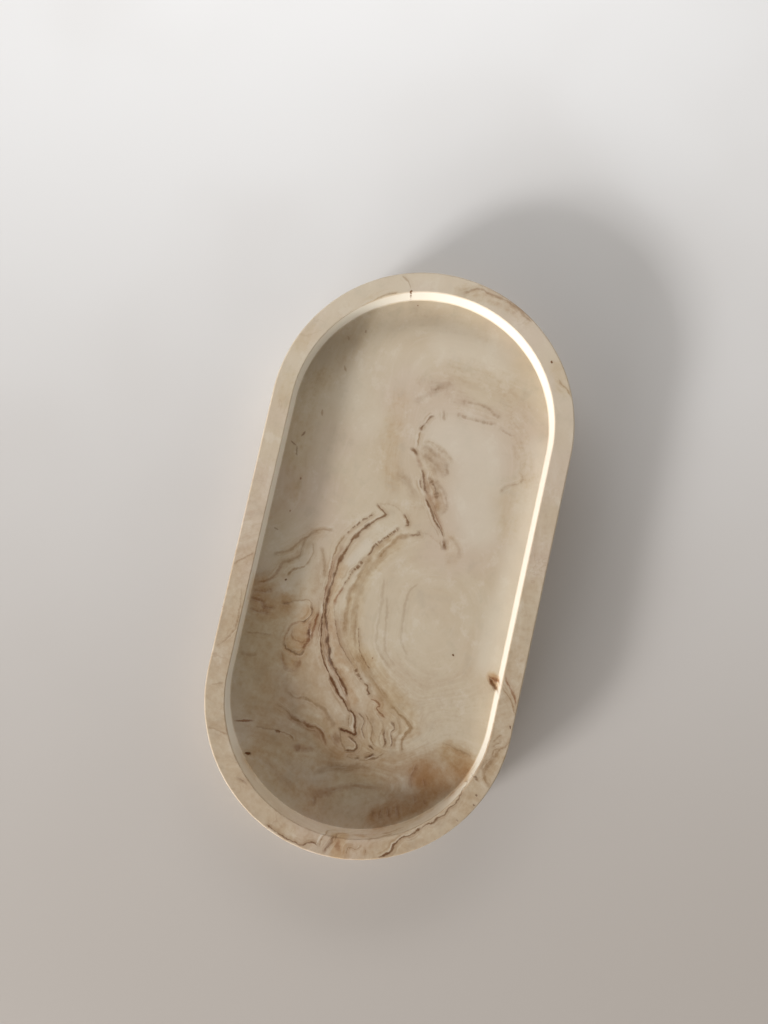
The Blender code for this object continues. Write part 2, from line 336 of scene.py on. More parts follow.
    (UMBER, 0.7, 0.7, 0.2, ((-35.6, 30.3), (-37.3, 29.7), (-38.2, 28.9), (-38.7, 27.1), (-39.2, 25.1),
        (-38.9, 24.1), (-38.3, 23.1), (-36.6, 22.3))),
    (RUST, 1.0, 0.9, 0.3, ((-37.4, 22.3), (-35.8, 22.9), (-34.8, 22.4), (-33.9, 22.2), (-32.2, 22.5),
        (-31.1, 22.4), (-28.3, 22.8), (-26.4, 22.6))),
    (UMBER, 0.8, 0.9, 0.0, ((-32.8, 22.4), (-31.1, 22.4), (-29.2, 22.6))),
    (RUST, 1.0, 0.9, 0.0, ((-22.6, 20.6), (-27.2, 21.1), (-29, 21), (-33.4, 21.2))),
    (RUST, 0.6, 0.5, 0.3, ((-30.4, 28.4), (-32, 28.2), (-34, 27.4), (-34.9, 26), (-34.8, 24), (-33.7, 23))),
    (RUST, 1.2, 0.35, 0.3, ((-38.6, 30.3), (-41.6, 29.6), (-43.2, 28.7), (-44.7, 27.5), (-45, 25.6),
        (-44.5, 23.6), (-43.2, 22.7))),
    (RUST, 1.8, 0.5, 0.0, ((-39.2, 23.7), (-41.3, 23.4), (-42.8, 24), (-44.6, 25))),
    # Lower left and bottom
    (OLIVE, 0.8, 0.6, 0.1, ((-57.4, 28.4), (-58.8, 23.9), (-60.3, 21.8), (-61.3, 19.3), (-61.2, 17.3))),
    (RUST, 0.9, 0.7, 0.1, ((-60.8, 18.2), (-62.6, 15.2), (-62.2, 13.1), (-63, 11), (-65.1, 9.3),
        (-67.6, 7.5))),
    (RUST, 2.4, 0.35, 0.0, ((-60, 25), (-62, 18), (-64, 12), (-67, 8.4))),
    (OLIVE, 0.6, 0.65, 0.2, ((-66.7, 33.4), (-66.4, 28.5), (-66.5, 22.7), (-67.2, 20.2), (-68.9, 19.4))),
    (RUST, 2.0, 0.4, 0.3, ((-70.3, 20.8), (-70.4, 17.3), (-70.2, 13.6), (-68, 11.4))),
    (OLIVE, 1.0, 0.5, 0.2, ((-51.8, 25.6), (-53.8, 22.7), (-53.5, 19.3), (-54.3, 15.5), (-54.9, 12.6))),
    (SMOKE, 1.6, 0.5, 0.0, ((-54.6, 15), (-55.6, 11.5), (-59.5, 7.6), (-62, 6.2))),
    (RUST, 2.6, 0.35, 0.0, ((-84.6, 10.4), (-84.3, 6.9), (-82.7, 3.6), (-80.7, 0.2), (-79, -4.2),
        (-78.2, -9.2), (-77.4, -14.8))),
    (SMOKE, 2.6, 0.4, 0.0, ((-79.3, 10.2), (-75.4, 6.9), (-74, 2.4), (-73.2, -2), (-71.6, -6.2),
        (-74, -8.6))),
    (RUST, 1.4, 0.5, 0.2, ((-84.5, 8), (-88.8, 7.6))),
    (RUST, 2.5, 0.12, 0.0, ((-77, 30), (-78.4, 25.5), (-81.5, 21), (-84.5, 15))),
    # Lower right
    (OLIVE, 0.8, 0.45, 0.1, ((-57.6, -31), (-58.2, -34.6), (-58.8, -37.8), (-60, -42.6))),
    (RUST, 1.2, 0.35, 0.1, ((-66.2, -24.6), (-69, -23.6), (-73.1, -23.2), (-75.8, -24.8))),
    (RUST, 1.2, 0.3, 0.3, ((-70.2, -27.4), (-74.2, -28.9))),
    (RUST, 1.2, 0.3, 0.3, ((-76.6, -25.2), (-80.8, -26.9))),
    (RUST, 1.2, 0.3, 0.3, ((-77.2, -28.7), (-80.2, -30.6))),
    (RUST, 1.4, 0.4, 0.1, ((-80.8, -20.2), (-86.6, -22))),
    (RUST, 1.2, 0.45, 0.3, ((-82.6, -17.4), (-87.4, -19.2))),
    (RUST, 1.5, 0.35, 0.1, ((-83.8, -15), (-88.4, -16))),
    (RUST, 1.0, 0.4, 0.3, ((-84.6, -12.4), (-88.2, -13.6))),
    (UMBER, 0.9, 1.0, 0.0, ((-31.2, -41.9), (-33, -42.8), (-34.3, -44.2), (-36.4, -46.4))),
    (RUST, 1.2, 0.9, 0.0, ((-31.6, -41.8), (-32.4, -44), (-32.6, -47.6))),
)

RIM_VEINS = (
    # The long wiggly crack at the lower right
    (UMBER, 0.55, 0.8, 0.3, ((-45, -44.7), (-48, -45.3), (-50.5, -45.2), (-53, -44.6), (-57, -44.1),
        (-62, -42.5), (-66.7, -40.1))),
    (UMBER, 0.5, 0.8, 0.0, ((-65, -36), (-67, -39), (-68.2, -39.9), (-68.6, -38.6), (-69.8, -38.9),
        (-70.7, -40), (-71.7, -39.6), (-72.6, -39.7), (-73.4, -39.2), (-74.3, -38.9), (-75.4, -38.2),
        (-76.4, -37), (-77.5, -36.6), (-78.8, -36), (-79.6, -34.6), (-80.9, -33.4), (-82.2, -32.8),
        (-82.8, -31.2), (-83.8, -30.3), (-85.1, -29.6))),
    (UMBER, 0.6, 1.0, 0.0, ((-84.8, -29.8), (-85.6, -28.2), (-86.7, -27.2), (-88.1, -25.9),
        (-88.6, -24.2), (-89.6, -23.2), (-91, -22.3), (-92, -21.3), (-93.7, -21.4), (-95.4, -20.1),
        (-97.6, -17.4))),
    # Lower end, where it also runs along the wall
    (UMBER, 0.5, 0.85, 0.3, ((-95.2, 21.7), (-96.1, 19), (-97.7, 15), (-98.4, 12.4), (-98.7, 10.4),
        (-99.3, 9.2), (-98.9, 7.6), (-97.8, 6.1), (-97.4, 3.8), (-98.4, 2.8))),
    (OLIVE, 0.5, 0.85, 0.0, ((-86.3, -3.6), (-87.8, -1.4), (-91.5, 0.7), (-94.9, 2.1), (-96.5, 2.5),
        (-98.4, 2.3))),
    (UMBER, 0.9, 0.7, 0.0, ((-93, -1.9), (-94.5, -1.5), (-96.3, -0.8), (-98.2, 0.2), (-100.2, 0.6))),
    (OLIVE, 0.6, 0.9, 0.0, ((-95.4, -2), (-94, -2.3), (-91.9, -2.5), (-89.1, -4.7), (-87.6, -6.4),
        (-85.3, -7.8), (-85.1, -11.6), (-84, -13.5))),
    (OLIVE, 0.5, 0.75, 0.1, ((-88.2, -14.8), (-87.4, -16.7), (-86, -18.6), (-83.6, -21.4))),
    (RUST, 2.0, 0.55, 0.0, ((-93.6, -4), (-96, -3.4), (-99, -4.6))),
    (OLIVE, 0.4, 0.8, 0.1, ((-98.9, -7), (-96.2, -6.7), (-96.4, -9.4), (-95.7, -10.5), (-94.5, -10.8))),
    (OLIVE, 0.8, 0.7, 0.1, ((-95, -12.5), (-98.2, -13.3))),
    (OLIVE, 0.8, 0.55, 0.1, ((-93.1, -13.4), (-91.6, -14.2), (-90.7, -15.9), (-89.1, -17.9), (-87.6, -20.2))),
    (RUST, 1.0, 0.4, 0.2, ((-91, -6), (-89, -9), (-88.6, -12.5))),
    # Lower right
    (RUST, 0.8, 0.75, 0.1, ((-29, -46), (-31.7, -47.4), (-33.5, -49.2), (-35.7, -50.8), (-38.4, -52))),
    (OLIVE, 0.5, 0.65, 0.2, ((-33.1, -46), (-35.2, -47.6), (-37.3, -50), (-41.4, -52.2))),
    (OLIVE, 0.5, 0.6, 0.3, ((-48.6, -49.4), (-50.2, -47.6), (-52.4, -46.4))),
    (OLIVE, 1.2, 0.6, 0.1, ((-49.6, -52), (-52.6, -51), (-53.6, -49.4), (-56.2, -48.6), (-58.8, -47.2),
        (-60.8, -46.2), (-62.8, -45.8), (-64.9, -47.3), (-67.2, -49))),
    (OLIVE, 0.6, 0.6, 0.2, ((-61.9, -45.4), (-60.5, -44.8), (-58.4, -45.8), (-56.9, -47.4),
        (-54.6, -47.7), (-53.5, -49.3))),
    (OLIVE, 0.6, 0.7, 0.4, ((-53.7, -46.7), (-52.3, -47.9), (-51.6, -49.3), (-50.2, -48.6))),
    (UMBER, 0.5, 0.6, 0.3, ((-63.8, -43.4), (-64.9, -43.8), (-65.7, -45))),
    # Upper end
    (SMOKE, 0.9, 0.7, 0.1, ((95.2, -4), (98.4, -9.5), (97.5, -13.1), (96.2, -19.5), (94.4, -23.5),
        (90.3, -29.8))),
    (OLIVE, 0.5, 0.6, 0.2, ((73.4, -42.6), (71.6, -44), (70.3, -46.3), (67.8, -48))),
    (SMOKE, 0.6, 0.7, 0.1, ((97.4, 17.8), (95.3, 14.9), (93, 13.5))),
    (OLIVE, 0.5, 0.5, 0.3, ((91.2, 17.6), (89.4, 21.3), (86.5, 25.4), (83, 29))),
    # Left side
    (OLIVE, 0.6, 0.6, 0.1, ((-7.4, 45.8), (-9.6, 48.6), (-13, 52))),
    (OLIVE, 0.6, 0.5, 0.3, ((-20, 47.4), (-27, 46.6), (-34, 46.4), (-38.6, 48.8), (-41, 51.8))),
    (OLIVE, 0.6, 0.5, 0.2, ((-52.6, 45.8), (-54, 50.4))),
    (OLIVE, 0.6, 0.6, 0.2, ((-68.3, 48.2), (-68.6, 44), (-69.4, 40.4))),
    (UMBER, 0.7, 0.5, 0.2, ((-82.2, 35), (-83.8, 30.2))),
)

# Each stain or wash of painted shade: depth of the tan, smoke and rust washes, radius in mm, and points (x,
# y) in mm
FLOOR_STAINS_AND_SHADE = (
    # The tan band inside the S, and what trails off its lower end
    (0.50, 0.15, 0.05, 4.0, ((6, 0), (0, 4.5), (-7, 8), (-16, 8.8), (-25, 8.5), (-32, 6), (-37, 2))),
    (0.55, 0.10, 0.05, 5.0, ((-36, 1), (-41, -5), (-46, -11), (-50, -16), (-55, -18))),
    (0.45, 0.05, 0.00, 6.0, ((-50, -8), (-58, -8), (-63, -8))),
    (0.30, 0.00, 0.32, 2.4, ((-6, 16.5), (-14, 17), (-22, 17), (-32, 13.5), (-42, 7), (-50, 2))),
    (0.10, 0.40, 0.00, 3.6, ((-8, 23), (-18, 20.8), (-26, 19.4))),
    (0.10, 0.38, 0.00, 3.0, ((-22, 13), (-31, 11), (-37, 8))),
    # Feathered clouds beside the crease
    (0.20, 0.58, 0.00, 4.0, ((40, -4), (38.5, -8), (36, -9))),
    (0.25, 0.52, 0.00, 2.8, ((29, -8.5), (25.5, -11), (22, -12.5))),
    (0.10, 0.05, 0.25, 2.2, ((33, -6), (28, -8), (22, -11))),
    (0.35, 0.10, 0.00, 2.8, ((12, -18.5), (8, -20.5), (4, -21))),
    # Upper end and right side
    (0.05, 0.12, 0.00, 4.5, ((87, 10), (86, 0), (87, -8), (85, -16))),
    (0.20, 0.20, 0.05, 5.5, ((71, -8), (71, -18), (69, -26), (62, -32))),
    (0.20, 0.20, 0.05, 4.0, ((56, -33), (46, -38), (38, -41))),
    (0.25, 0.05, 0.05, 4.5, ((36, -40), (28, -38), (18, -38))),
    (0.10, 0.25, 0.00, 3.5, ((64, 2), (64, -6), (60, -14), (58, -24))),
    (0.35, 0.00, 0.10, 4.5, ((56, 9), (44, 9), (34, 8), (27, 5))),
    (0.05, 0.20, 0.00, 3.5, ((30, 4), (28, -1), (22, -5))),
    # Left side
    (0.40, 0.10, 0.00, 5.0, ((57, 40), (45, 41), (32, 41), (20, 39))),
    (0.35, 0.05, 0.05, 5.0, ((16, 38), (6, 42))),
    (0.30, 0.05, 0.00, 5.0, ((80, 26), (70, 33), (58, 36))),
    (0.45, 0.20, 0.00, 4.0, ((3, 28), (-5, 34), (-12, 37), (-18, 42))),
    (0.50, 0.15, 0.35, 5.0, ((-19, 42), (-23, 42), (-26, 38), (-24, 33))),
    (0.50, 0.05, 0.35, 4.5, ((-25, 24), (-33, 26), (-41, 27))),
    (0.25, 0.10, 0.10, 4.0, ((-15, 27), (-19, 28), (-22, 33))),
    (0.55, 0.10, 0.10, 9.0, ((-34, 38), (-46, 37), (-58, 32))),
    # Lower left and bottom. The first four washes darken the lower floor as painted shade of the walls; the
    # third also follows a real olive band
    (0.00, 0.34, 0.00, 18.0, ((-46, -22), (-50, -8), (-54, 10))),
    (0.05, 0.32, 0.00, 11.0, ((-34, 17), (-46, 9), (-58, 0))),
    (0.25, 0.50, 0.08, 5.5, ((-71, 2), (-70, -8), (-68, -18), (-64, -30), (-61, -38))),
    (0.28, 0.14, 0.05, 16.0, ((-30, 36), (-52, 28), (-68, 20), (-78, 2), (-76, -22))),
    (0.45, 0.05, 0.10, 4.0, ((-59, 25), (-61, 18), (-64, 10))),
    (0.30, 0.22, 0.00, 7.0, ((-38, 20), (-46, 21), (-52, 17), (-56, 12), (-64, 4))),
    (0.50, 0.05, 0.20, 6.0, ((-70, 30), (-71, 18), (-70, 6))),
    (0.35, 0.10, 0.32, 5.5, ((-78, 31.5), (-79.5, 25.5), (-82, 19), (-85, 12), (-88, 8))),
    (0.35, 0.10, 0.20, 4.5, ((-84, 6), (-80, 1), (-77, -4), (-76, -11), (-76, -17))),
    (0.40, 0.05, 0.00, 6.0, ((-88, 0), (-88, -8), (-82, -13))),
    # Lower right
    (0.35, 0.60, 0.50, 6.0, ((-70, -28), (-71, -34), (-68, -39))),
    (0.40, 0.50, 0.48, 4.8, ((-73, -28), (-77, -29), (-80, -26), (-84, -20), (-88, -15))),
    (0.60, 0.15, 0.20, 4.5, ((-60, -34), (-62, -38), (-64, -42))),
    (0.60, 0.10, 0.60, 2.2, ((-32, -43), (-34, -46.6))),
)

RIM_STAINS = (
    (0.90, 0.25, 0.35, 3.2, ((-91, -4), (-95, -3.5), (-99, -4))),
    (0.40, 0.20, 0.30, 3.6, ((-88, -5), (-88, -12), (-85.5, -18))),
    (0.40, 0.30, 0.10, 3.6, ((-98, -6), (-96, -14), (-92, -24))),
    (0.35, 0.10, 0.05, 3.5, ((-96, 15), (-97.5, 7))),
    (0.15, 0.50, 0.00, 3.2, ((-34, -48.5), (-42, -49.5), (-52, -48.5), (-60, -46.5))),
    (0.35, 0.05, 0.00, 3.5, ((-66, -44), (-76, -42))),
    (0.45, 0.10, 0.00, 1.8, ((-63.6, -47.7), (-60, -48.8), (-56.7, -50), (-54.9, -51.2))),
    (0.25, 0.35, 0.10, 3.2, ((96, -4), (97, -12), (95, -20), (91, -29))),
    (0.30, 0.05, 0.00, 3.0, ((90, 18), (86, 25))),
    (0.40, 0.05, 0.00, 3.6, ((77, -42), (71, -45))),
    (0.40, 0.05, 0.00, 3.5, ((71, 44), (66, 47))),
    (0.30, 0.05, 0.00, 3.5, ((55, 47), (46, 48))),
    (0.30, 0.05, 0.00, 3.5, ((-8, 47), (-14, 50))),
    (0.30, 0.05, 0.00, 3.5, ((-24, 47.5), (-38, 48))),
    (0.30, 0.10, 0.00, 3.5, ((-79, 38), (-84, 32))),
)

# Each fleck: pigment, depth, middle (x, y), length and width in mm, and turn from +X in degrees
FLECKS = (
    (UMBER, 0.45, (-31.8, 15.7), 2.4, 1.2, -5),
    (UMBER, 0.5, (-35.6, 13.9), 2.6, 1.3, 10),
    (RUST, 0.8, (-65.6, 37.6), 6.0, 0.9, -76),
    (RUST, 0.7, (-66.5, 25.3), 1.9, 0.9, -85),
    (RUST, 0.3, (-70.5, 17.3), 2.8, 2.0, 0),
    (UMBER, 1.0, (-76.2, 33.8), 2.2, 0.9, -80),
    (UMBER, 0.6, (37.0, 40.0), 2.0, 0.7, 150),
    (UMBER, 0.6, (33.0, 42.8), 2.4, 0.5, 58),
    (UMBER, 0.5, (30.4, 41.0), 3.4, 0.6, 12),
    (UMBER, 1.0, (-27.4, -28.4), 0.9, 0.7, 30),
    (UMBER, 0.4, (2.0, 41.9), 1.7, 0.5, 75),
    (UMBER, 0.9, (-14.7, 34.4), 0.7, 0.6, 20),
    (OLIVE, 0.5, (45.8, 35.2), 2.2, 0.7, 12),
    (OLIVE, 0.5, (62.9, 30.7), 2.2, 0.7, 30),
    (SMOKE, 0.4, (73.9, 32.0), 1.8, 0.7, 30),
    (RUST, 0.7, (21.2, 37.5), 1.0, 0.7, 0),
    (RUST, 0.6, (9.2, 38.5), 0.9, 0.6, 0),
    (RUST, 0.5, (77.5, 26.5), 1.0, 0.7, 0),
    (UMBER, 1.0, (78.5, -39.2), 1.1, 0.8, 35),
    (UMBER, 1.0, (92.3, 13.4), 0.9, 0.7, 120),
    (UMBER, 0.7, (-45.6, -51.2), 1.2, 0.6, 30),
    (UMBER, 0.7, (-70.2, -45.1), 1.0, 0.8, 30),
    (UMBER, 0.6, (-73.4, -45.0), 0.9, 0.6, 60),
    (UMBER, 0.4, (-79.6, -40.6), 0.9, 0.5, 50),
    (UMBER, 0.5, (-64.4, -43.3), 1.4, 0.5, 100),
)

# Pale patches: where the pigment kept out, but the last is painted light; how far, radius in mm and points
# (x, y) in mm
PALE_PATCHES = (
    (1.0, 11.0, ((46, -10), (45, -20), (36, -24))),
    (1.0, 9.0, ((30, -22), (18, -28))),
    (0.4, 8.0, ((70, 8), (60, 24), (46, 20))),
    (1.0, 2.0, ((-56, 5), (-52, 10), (-46, 14.5))),
    (0.8, 9.0, ((80, -4), (78, -20))),
    (1.0, 2.2, ((4, 9), (-4, 13.5))),
    # Painted light: the floor paler along the right wall, for the glow thrown off the lit wall
    (0.9, 6.5, ((48, -42), (20, -43), (0, -43), (-26, -41))),
)

# Contours of the pour: a level in mm, and points (x, y) in mm that lie on it
FLOW_CONTOURS = (
    (0, ((15, 5), (4.5, 14), (-6, 17.6), (-20, 18.6), (-30, 16), (-42, 10), (-54, 1.5))),
    (-5, ((13, -3), (2.5, 7), (-7.5, 12.5), (-21, 15), (-31, 11), (-39, 4), (-50, -7), (-63, -14))),
    (-12, ((8, -10), (1, -1), (-6, 3), (-15, 5), (-26, 5), (-37, -1), (-46, -14), (-56, -20))),
    (-20, ((2, -18), (-5, -6), (-14, -3), (-25, -3), (-36, -9), (-42, -22), (-36, -34), (-20, -37),
        (-6, -34), (1, -27))),
    (-27, ((-6, -14), (-18, -9), (-28, -11), (-32, -20), (-26, -29), (-14, -30), (-6, -24))),
    (-33, ((-17, -20),)),
    (-13, ((51, -2), (40, -0.5), (30, -5), (20, -10.5), (8, -17.5))),
    (-13, ((54, -5), (55.5, -12), (54.5, -22), (51, -32), (40, -37), (28, -38), (14, -38))),
    (-24, ((44, -9), (46, -17), (40, -27), (28, -25), (20, -21))),
    (-7, ((60, -10), (60, -20), (57, -33), (46, -42))),
    (-1, ((67, 2), (68, -14), (65, -32))),
    (5, ((76, 6), (77, -12), (73, -30))),
    (10, ((84, 2), (85, -14))),
    (4, ((48, 6), (34, 9), (24, 8))),
    (9, ((62, 14), (44, 18), (26, 19), (12, 21))),
    (17, ((66, 24), (46, 29), (26, 30), (10, 30))),
    (27, ((62, 40), (44, 42), (24, 41), (8, 42))),
    (5, ((2, 22), (-8, 22.5), (-18, 23))),
    (12, ((3, 29), (-4, 35), (-10, 42))),
    (9, ((-14, 34), (-22, 32), (-26, 38), (-24, 44))),
    (6, ((-32, 23), (-40, 22), (-45, 26), (-40, 31), (-32, 31))),
    (5, ((-52, 26), (-54, 18), (-60, 7.5), (-66, 3))),
    (9, ((-58.8, 27), (-61.5, 18), (-66, 8.5))),
    (14, ((-66.5, 38), (-66.5, 28), (-69, 19), (-70, 10))),
    (22, ((-78, 31), (-82, 21), (-86, 12), (-84, 5), (-79, -4), (-76, -14))),
    (16, ((-76, 8), (-73, 0), (-71.5, -7))),
    (14, ((-66, -24), (-74, -24), (-82, -20), (-88, -12))),
    (6, ((-58, -33), (-60, -42))),
    (-2, ((-50, -26), (-48, -40))),
)

# Colours, as they look under plain light, in 8-bit sRGB
IVORY = (185, 171, 150)
SAND = (174, 155, 131)
PALE_STONE = (197, 188, 173)
# Painted highlight: the near-white of the brightly lit inner walls
PAINTED_HIGHLIGHT_WHITE = (212, 207, 196)
ROSE_STONE = (184, 167, 151)
OLIVE_STONE = (182, 169, 148)
SHADE_GREY = (166, 153, 134)
PIGMENT_TINTS = {
    UMBER: (132, 90, 44),
    OLIVE: (182, 154, 116),
    RUST: (166, 116, 72),
    SMOKE: (192, 172, 152),
}
TAN_WASH = (243, 233, 213)
SMOKE_WASH = (221, 208, 195)
RUST_WASH = (243, 218, 190)
RUBBER_CLEAR = (196, 193, 186)
RUBBER_CLOUDY = (168, 164, 156)
TABLE_NEAR = (177, 170, 164)
# Painted light: the table's paler far end
TABLE_FAR_PAINTED_LIGHT = (218, 218, 219)

# Cloudy patterns of the stone: noise scale per mm, detail and roughness
CLOUDY_PATTERNS = {
    "clouds": (0.05, 4.0, 0.6),
    "mottle": (0.5, 4.0, 0.65),
    "blotches": (0.13, 5.0, 0.65),
    "drift": (0.028, 2.0, 0.5),
}

# Patterns drawn out along the flow: scale across it and along it, detail and roughness; and how much
# of the scale along it they keep down the walls
FLOWING_PATTERNS = {
    "bands": (0.16, 0.03, 3.0, 0.5),
    "streaks": (0.62, 0.08, 4.0, 0.6),
}
DOWNWARD_SHARE = 0.7

# First tone, where bands and clouds together turn ivory to sand: the band of it, and its depth
TONE_BAND = (0.38, 0.62)
TONE_DEPTH = 0.55

# Tones laid over it in turn: pattern, colour, the band in which it comes up, and its depth
STONE_TONES = (
    ("drift", ROSE_STONE, (0.5, 0.68), 0.6),
    ("drift", OLIVE_STONE, (0.48, 0.32), 0.45),
    ("streaks", SHADE_GREY, (0.52, 0.7), 0.15),
    ("streaks", PALE_STONE, (0.47, 0.32), 0.15),
    ("blotches", SHADE_GREY, (0.52, 0.7), 0.4),
    ("blotches", PALE_STONE, (0.47, 0.32), 0.4),
    ("mottle", SAND, (0.5, 0.8), 0.3),
)

# Stray thin veins follow the middle contour of a distorted noise, where a second noise is high;
# each noise is its scale per mm, detail, roughness and distortion
STRAY_NOISE = (0.06, 4.0, 0.6, 0.6)
STRAY_EDGE = (0.012, 0.002)
STRAY_PLACES = (0.05, 1.0)
STRAY_PLACE_BAND = (0.5, 0.62)
STRAY_DEPTH = 0.7

# Washes: how pale stone and the painted highlight's white come up, and how streaks and mottle make the edges
# ragged
PALE_SHARE = 0.5
PAINTED_HIGHLIGHT_BAND = (1.0, 2.0)
PAINTED_HIGHLIGHT_DEPTH = 0.6
RAGGED_STREAKS = 0.9
RAGGED_MOTTLE = 1.3
RAGGED_DEPTH = 0.45
WASH_START = (0.0, 0.12)


def linear(colour):
    """An 8-bit sRGB colour as linear values with full alpha."""
    values = []
    for channel in colour:
        level = channel / 255
        values.append(level / 12.92 if level <= 0.04045 else ((level + 0.055) / 1.055) ** 2.4)
    return (*values, 1.0)


def smooth(low, high, values):
    """Rises from 0 at low to 1 at high; with low above high it falls."""
    part = np.clip((values - low) / (high - low), 0.0, 1.0)
    return part * part * (3.0 - 2.0 * part)


class TraySection:
    """The tray's body in mm: its outline from the frame, and the section that runs round it."""

    def __init__(self, box, floor_height):
        low, high = box
        self.base = low.z / MM
        self.rim = high.z / MM
        self.floor = floor_height / MM
        self.radius = (high.y - low.y) / 2 / MM
        self.centre = (high.x - low.x) / 2 / MM - self.radius
        self.wall_foot = RIM_WIDTH_MM + WELL_DRAFT_MM

    def stations(self):
        """Round the outline: the point on the long axis behind each station, and its way out."""
        arc_count = round(math.pi * self.radius / STATION_STEP_MM)
        side_count = round(2 * self.centre / STATION_STEP_MM)
        behind = []
        outward = []
        for end in (1, -1):
            for step in range(arc_count):
                angle = math.pi * step / arc_count - math.pi / 2
                behind.append(end * self.centre)
                outward.append((end * math.cos(angle), end * math.sin(angle)))
            for step in range(side_count):
                behind.append(end * self.centre * (1 - 2 * step / side_count))
                outward.append((0.0, end))
        return np.array(behind), np.array(outward)

    def profile(self):
        """(inset, height) from the middle of the underside, over the rim, to the middle of the floor."""
        rim = self.rim
        base_edge = self.base + BASE_EDGE_FILLET_MM
        rim_edge = RIM_WIDTH_MM - INNER_RIM_FILLET_MM
        floor_edge = self.floor + WELL_FLOOR_FILLET_MM
        floor_start = self.wall_foot + WELL_FLOOR_FILLET_MM
        points = [(self.radius, self.base)]
        points += stretch(points[-1], (BASE_EDGE_FILLET_MM, self.base), UNDERSIDE_STEP_MM)
        points += corner((BASE_EDGE_FILLET_MM, base_edge), BASE_EDGE_FILLET_MM, 270, 180)
        points += stretch(points[-1], (0.0, rim - OUTER_RIM_FILLET_MM), WALL_STEP_MM)
        points += corner((OUTER_RIM_FILLET_MM, rim - OUTER_RIM_FILLET_MM), OUTER_RIM_FILLET_MM, 180, 90)
        points += stretch(points[-1], (rim_edge, rim), FLOOR_STEP_MM)
        points += corner((rim_edge, rim - INNER_RIM_FILLET_MM), INNER_RIM_FILLET_MM, 90, 0)
        points += stretch(points[-1], (self.wall_foot, floor_edge), WALL_STEP_MM)
        points += corner((floor_start, floor_edge), WELL_FLOOR_FILLET_MM, 180, 270)
        points += stretch(points[-1], (self.radius, self.floor), FLOOR_STEP_MM)
        return points

    def inset(self, places):
        """How far each place is inside the outline."""
        past_side = np.maximum(np.abs(places[:, 0]) - self.centre, 0.0)
        return self.radius - np.hypot(past_side, places[:, 1])

    def along_wall(self, places):
        """The level direction along the wall at each place, counter-clockwise."""
        past_side = np.sign(places[:, 0]) * np.maximum(np.abs(places[:, 0]) - self.centre, 0.0)
        reach = np.maximum(np.hypot(past_side, places[:, 1]), TOUCH_MM)
        return np.column_stack((-places[:, 1] / reach, past_side / reach))


def stretch(start, end, step):
    """Points on a straight stretch of the section, without its first; the outer two keep it flat."""
    length = math.dist(start, end)
    count = max(2, round(length / step))
    places = [SHARPEN_MM] + [length * index / count for index in range(1, count)]
    points = []
    for place in places + [length - SHARPEN_MM, length]:
        part = place / length
        points.append((start[0] + (end[0] - start[0]) * part, start[1] + (end[1] - start[1]) * part))
    return points


def corner(centre, radius, first_angle, last_angle):
    """Points round a corner of the section, without its first."""
    points = []
    for step in range(1, FILLET_STEPS + 1):
        angle = math.radians(first_angle + (last_angle - first_angle) * step / FILLET_STEPS)
        points.append((centre[0] + radius * math.cos(angle), centre[1] + radius * math.sin(angle)))
    return points


def build_body_mesh(section):
    """The tray's body: one ring of vertices for each point of the section, closed at both middles."""
    behind, outward = section.stations()
    profile = section.profile()
    count = len(behind)
    rings = []
    for inset, height in profile:
        reach = section.radius - inset
        x = behind + outward[:, 0] * reach
        rings.append(np.column_stack((x, outward[:, 1] * reach, np.full(count, height))))
    faces = []
    for low in range(0, (len(profile) - 1) * count, count):
        high = low + count
        for station in range(count):
            after = (station + 1) % count
            faces.append((low + station, low + after, high + after, high + station))
    mesh = bpy.data.meshes.new("tray_stone")
    mesh.from_pydata(np.concatenate(rings) * MM, [], faces)

    bm = bmesh.new()
    bm.from_mesh(mesh)
    bmesh.ops.remove_doubles(bm, verts=bm.verts, dist=MERGE_DISTANCE)
    bmesh.ops.recalc_face_normals(bm, faces=bm.faces)
    bm.to_mesh(mesh)
    bm.free()
    mesh.shade_smooth()
    return mesh


def rounded_path(points):
    """A smooth line through given points: each round halves its steps by the 4-point rule."""
    path = np.array(points, float)
    for _ in range(PATH_ROUNDS):
        if len(path) < 3:
            break
        before = np.concatenate(((2 * path[0] - path[1],), path[:-2]))
        after = np.concatenate((path[2:], (2 * path[-1] - path[-2],)))
        middles = (9 * (path[:-1] + path[1:]) - before - after) / 16
        finer = np.empty((2 * len(path) - 1, 2))
        finer[::2] = path
        finer[1::2] = middles
        path = finer
    return path


def measure_from_path(path, spots):
    """For each spot: signed distance from the path, and how far along it the nearest point is."""
    starts = path[:-1]
    steps = path[1:] - starts
    lengths = np.maximum(np.hypot(steps[:, 0], steps[:, 1]), TINY)
    before = np.concatenate(((0.0,), np.cumsum(lengths)[:-1]))
    away = spots[:, None, :] - starts[None, :, :]
    part = np.clip((away * steps).sum(axis=2) / lengths**2, 0.0, 1.0)
    gap = away - part[:, :, None] * steps
    distance = np.hypot(gap[:, :, 0], gap[:, :, 1])
    nearest = distance.argmin(axis=1)
    rows = np.arange(len(spots))
    side = steps[nearest, 0] * away[rows, nearest, 1] - steps[nearest, 1] * away[rows, nearest, 0]
    signed = np.where(side < 0, -1.0, 1.0) * distance[rows, nearest]
    return signed, before[nearest] + part[rows, nearest] * lengths[nearest]


def near_path(path, spots, reach):
    """The indices of the spots inside the path's box, widened by reach."""
    low = path.min(axis=0) - reach
    high = path.max(axis=0) + reach
    return np.nonzero(((spots > low) & (spots < high)).all(axis=1))[0]


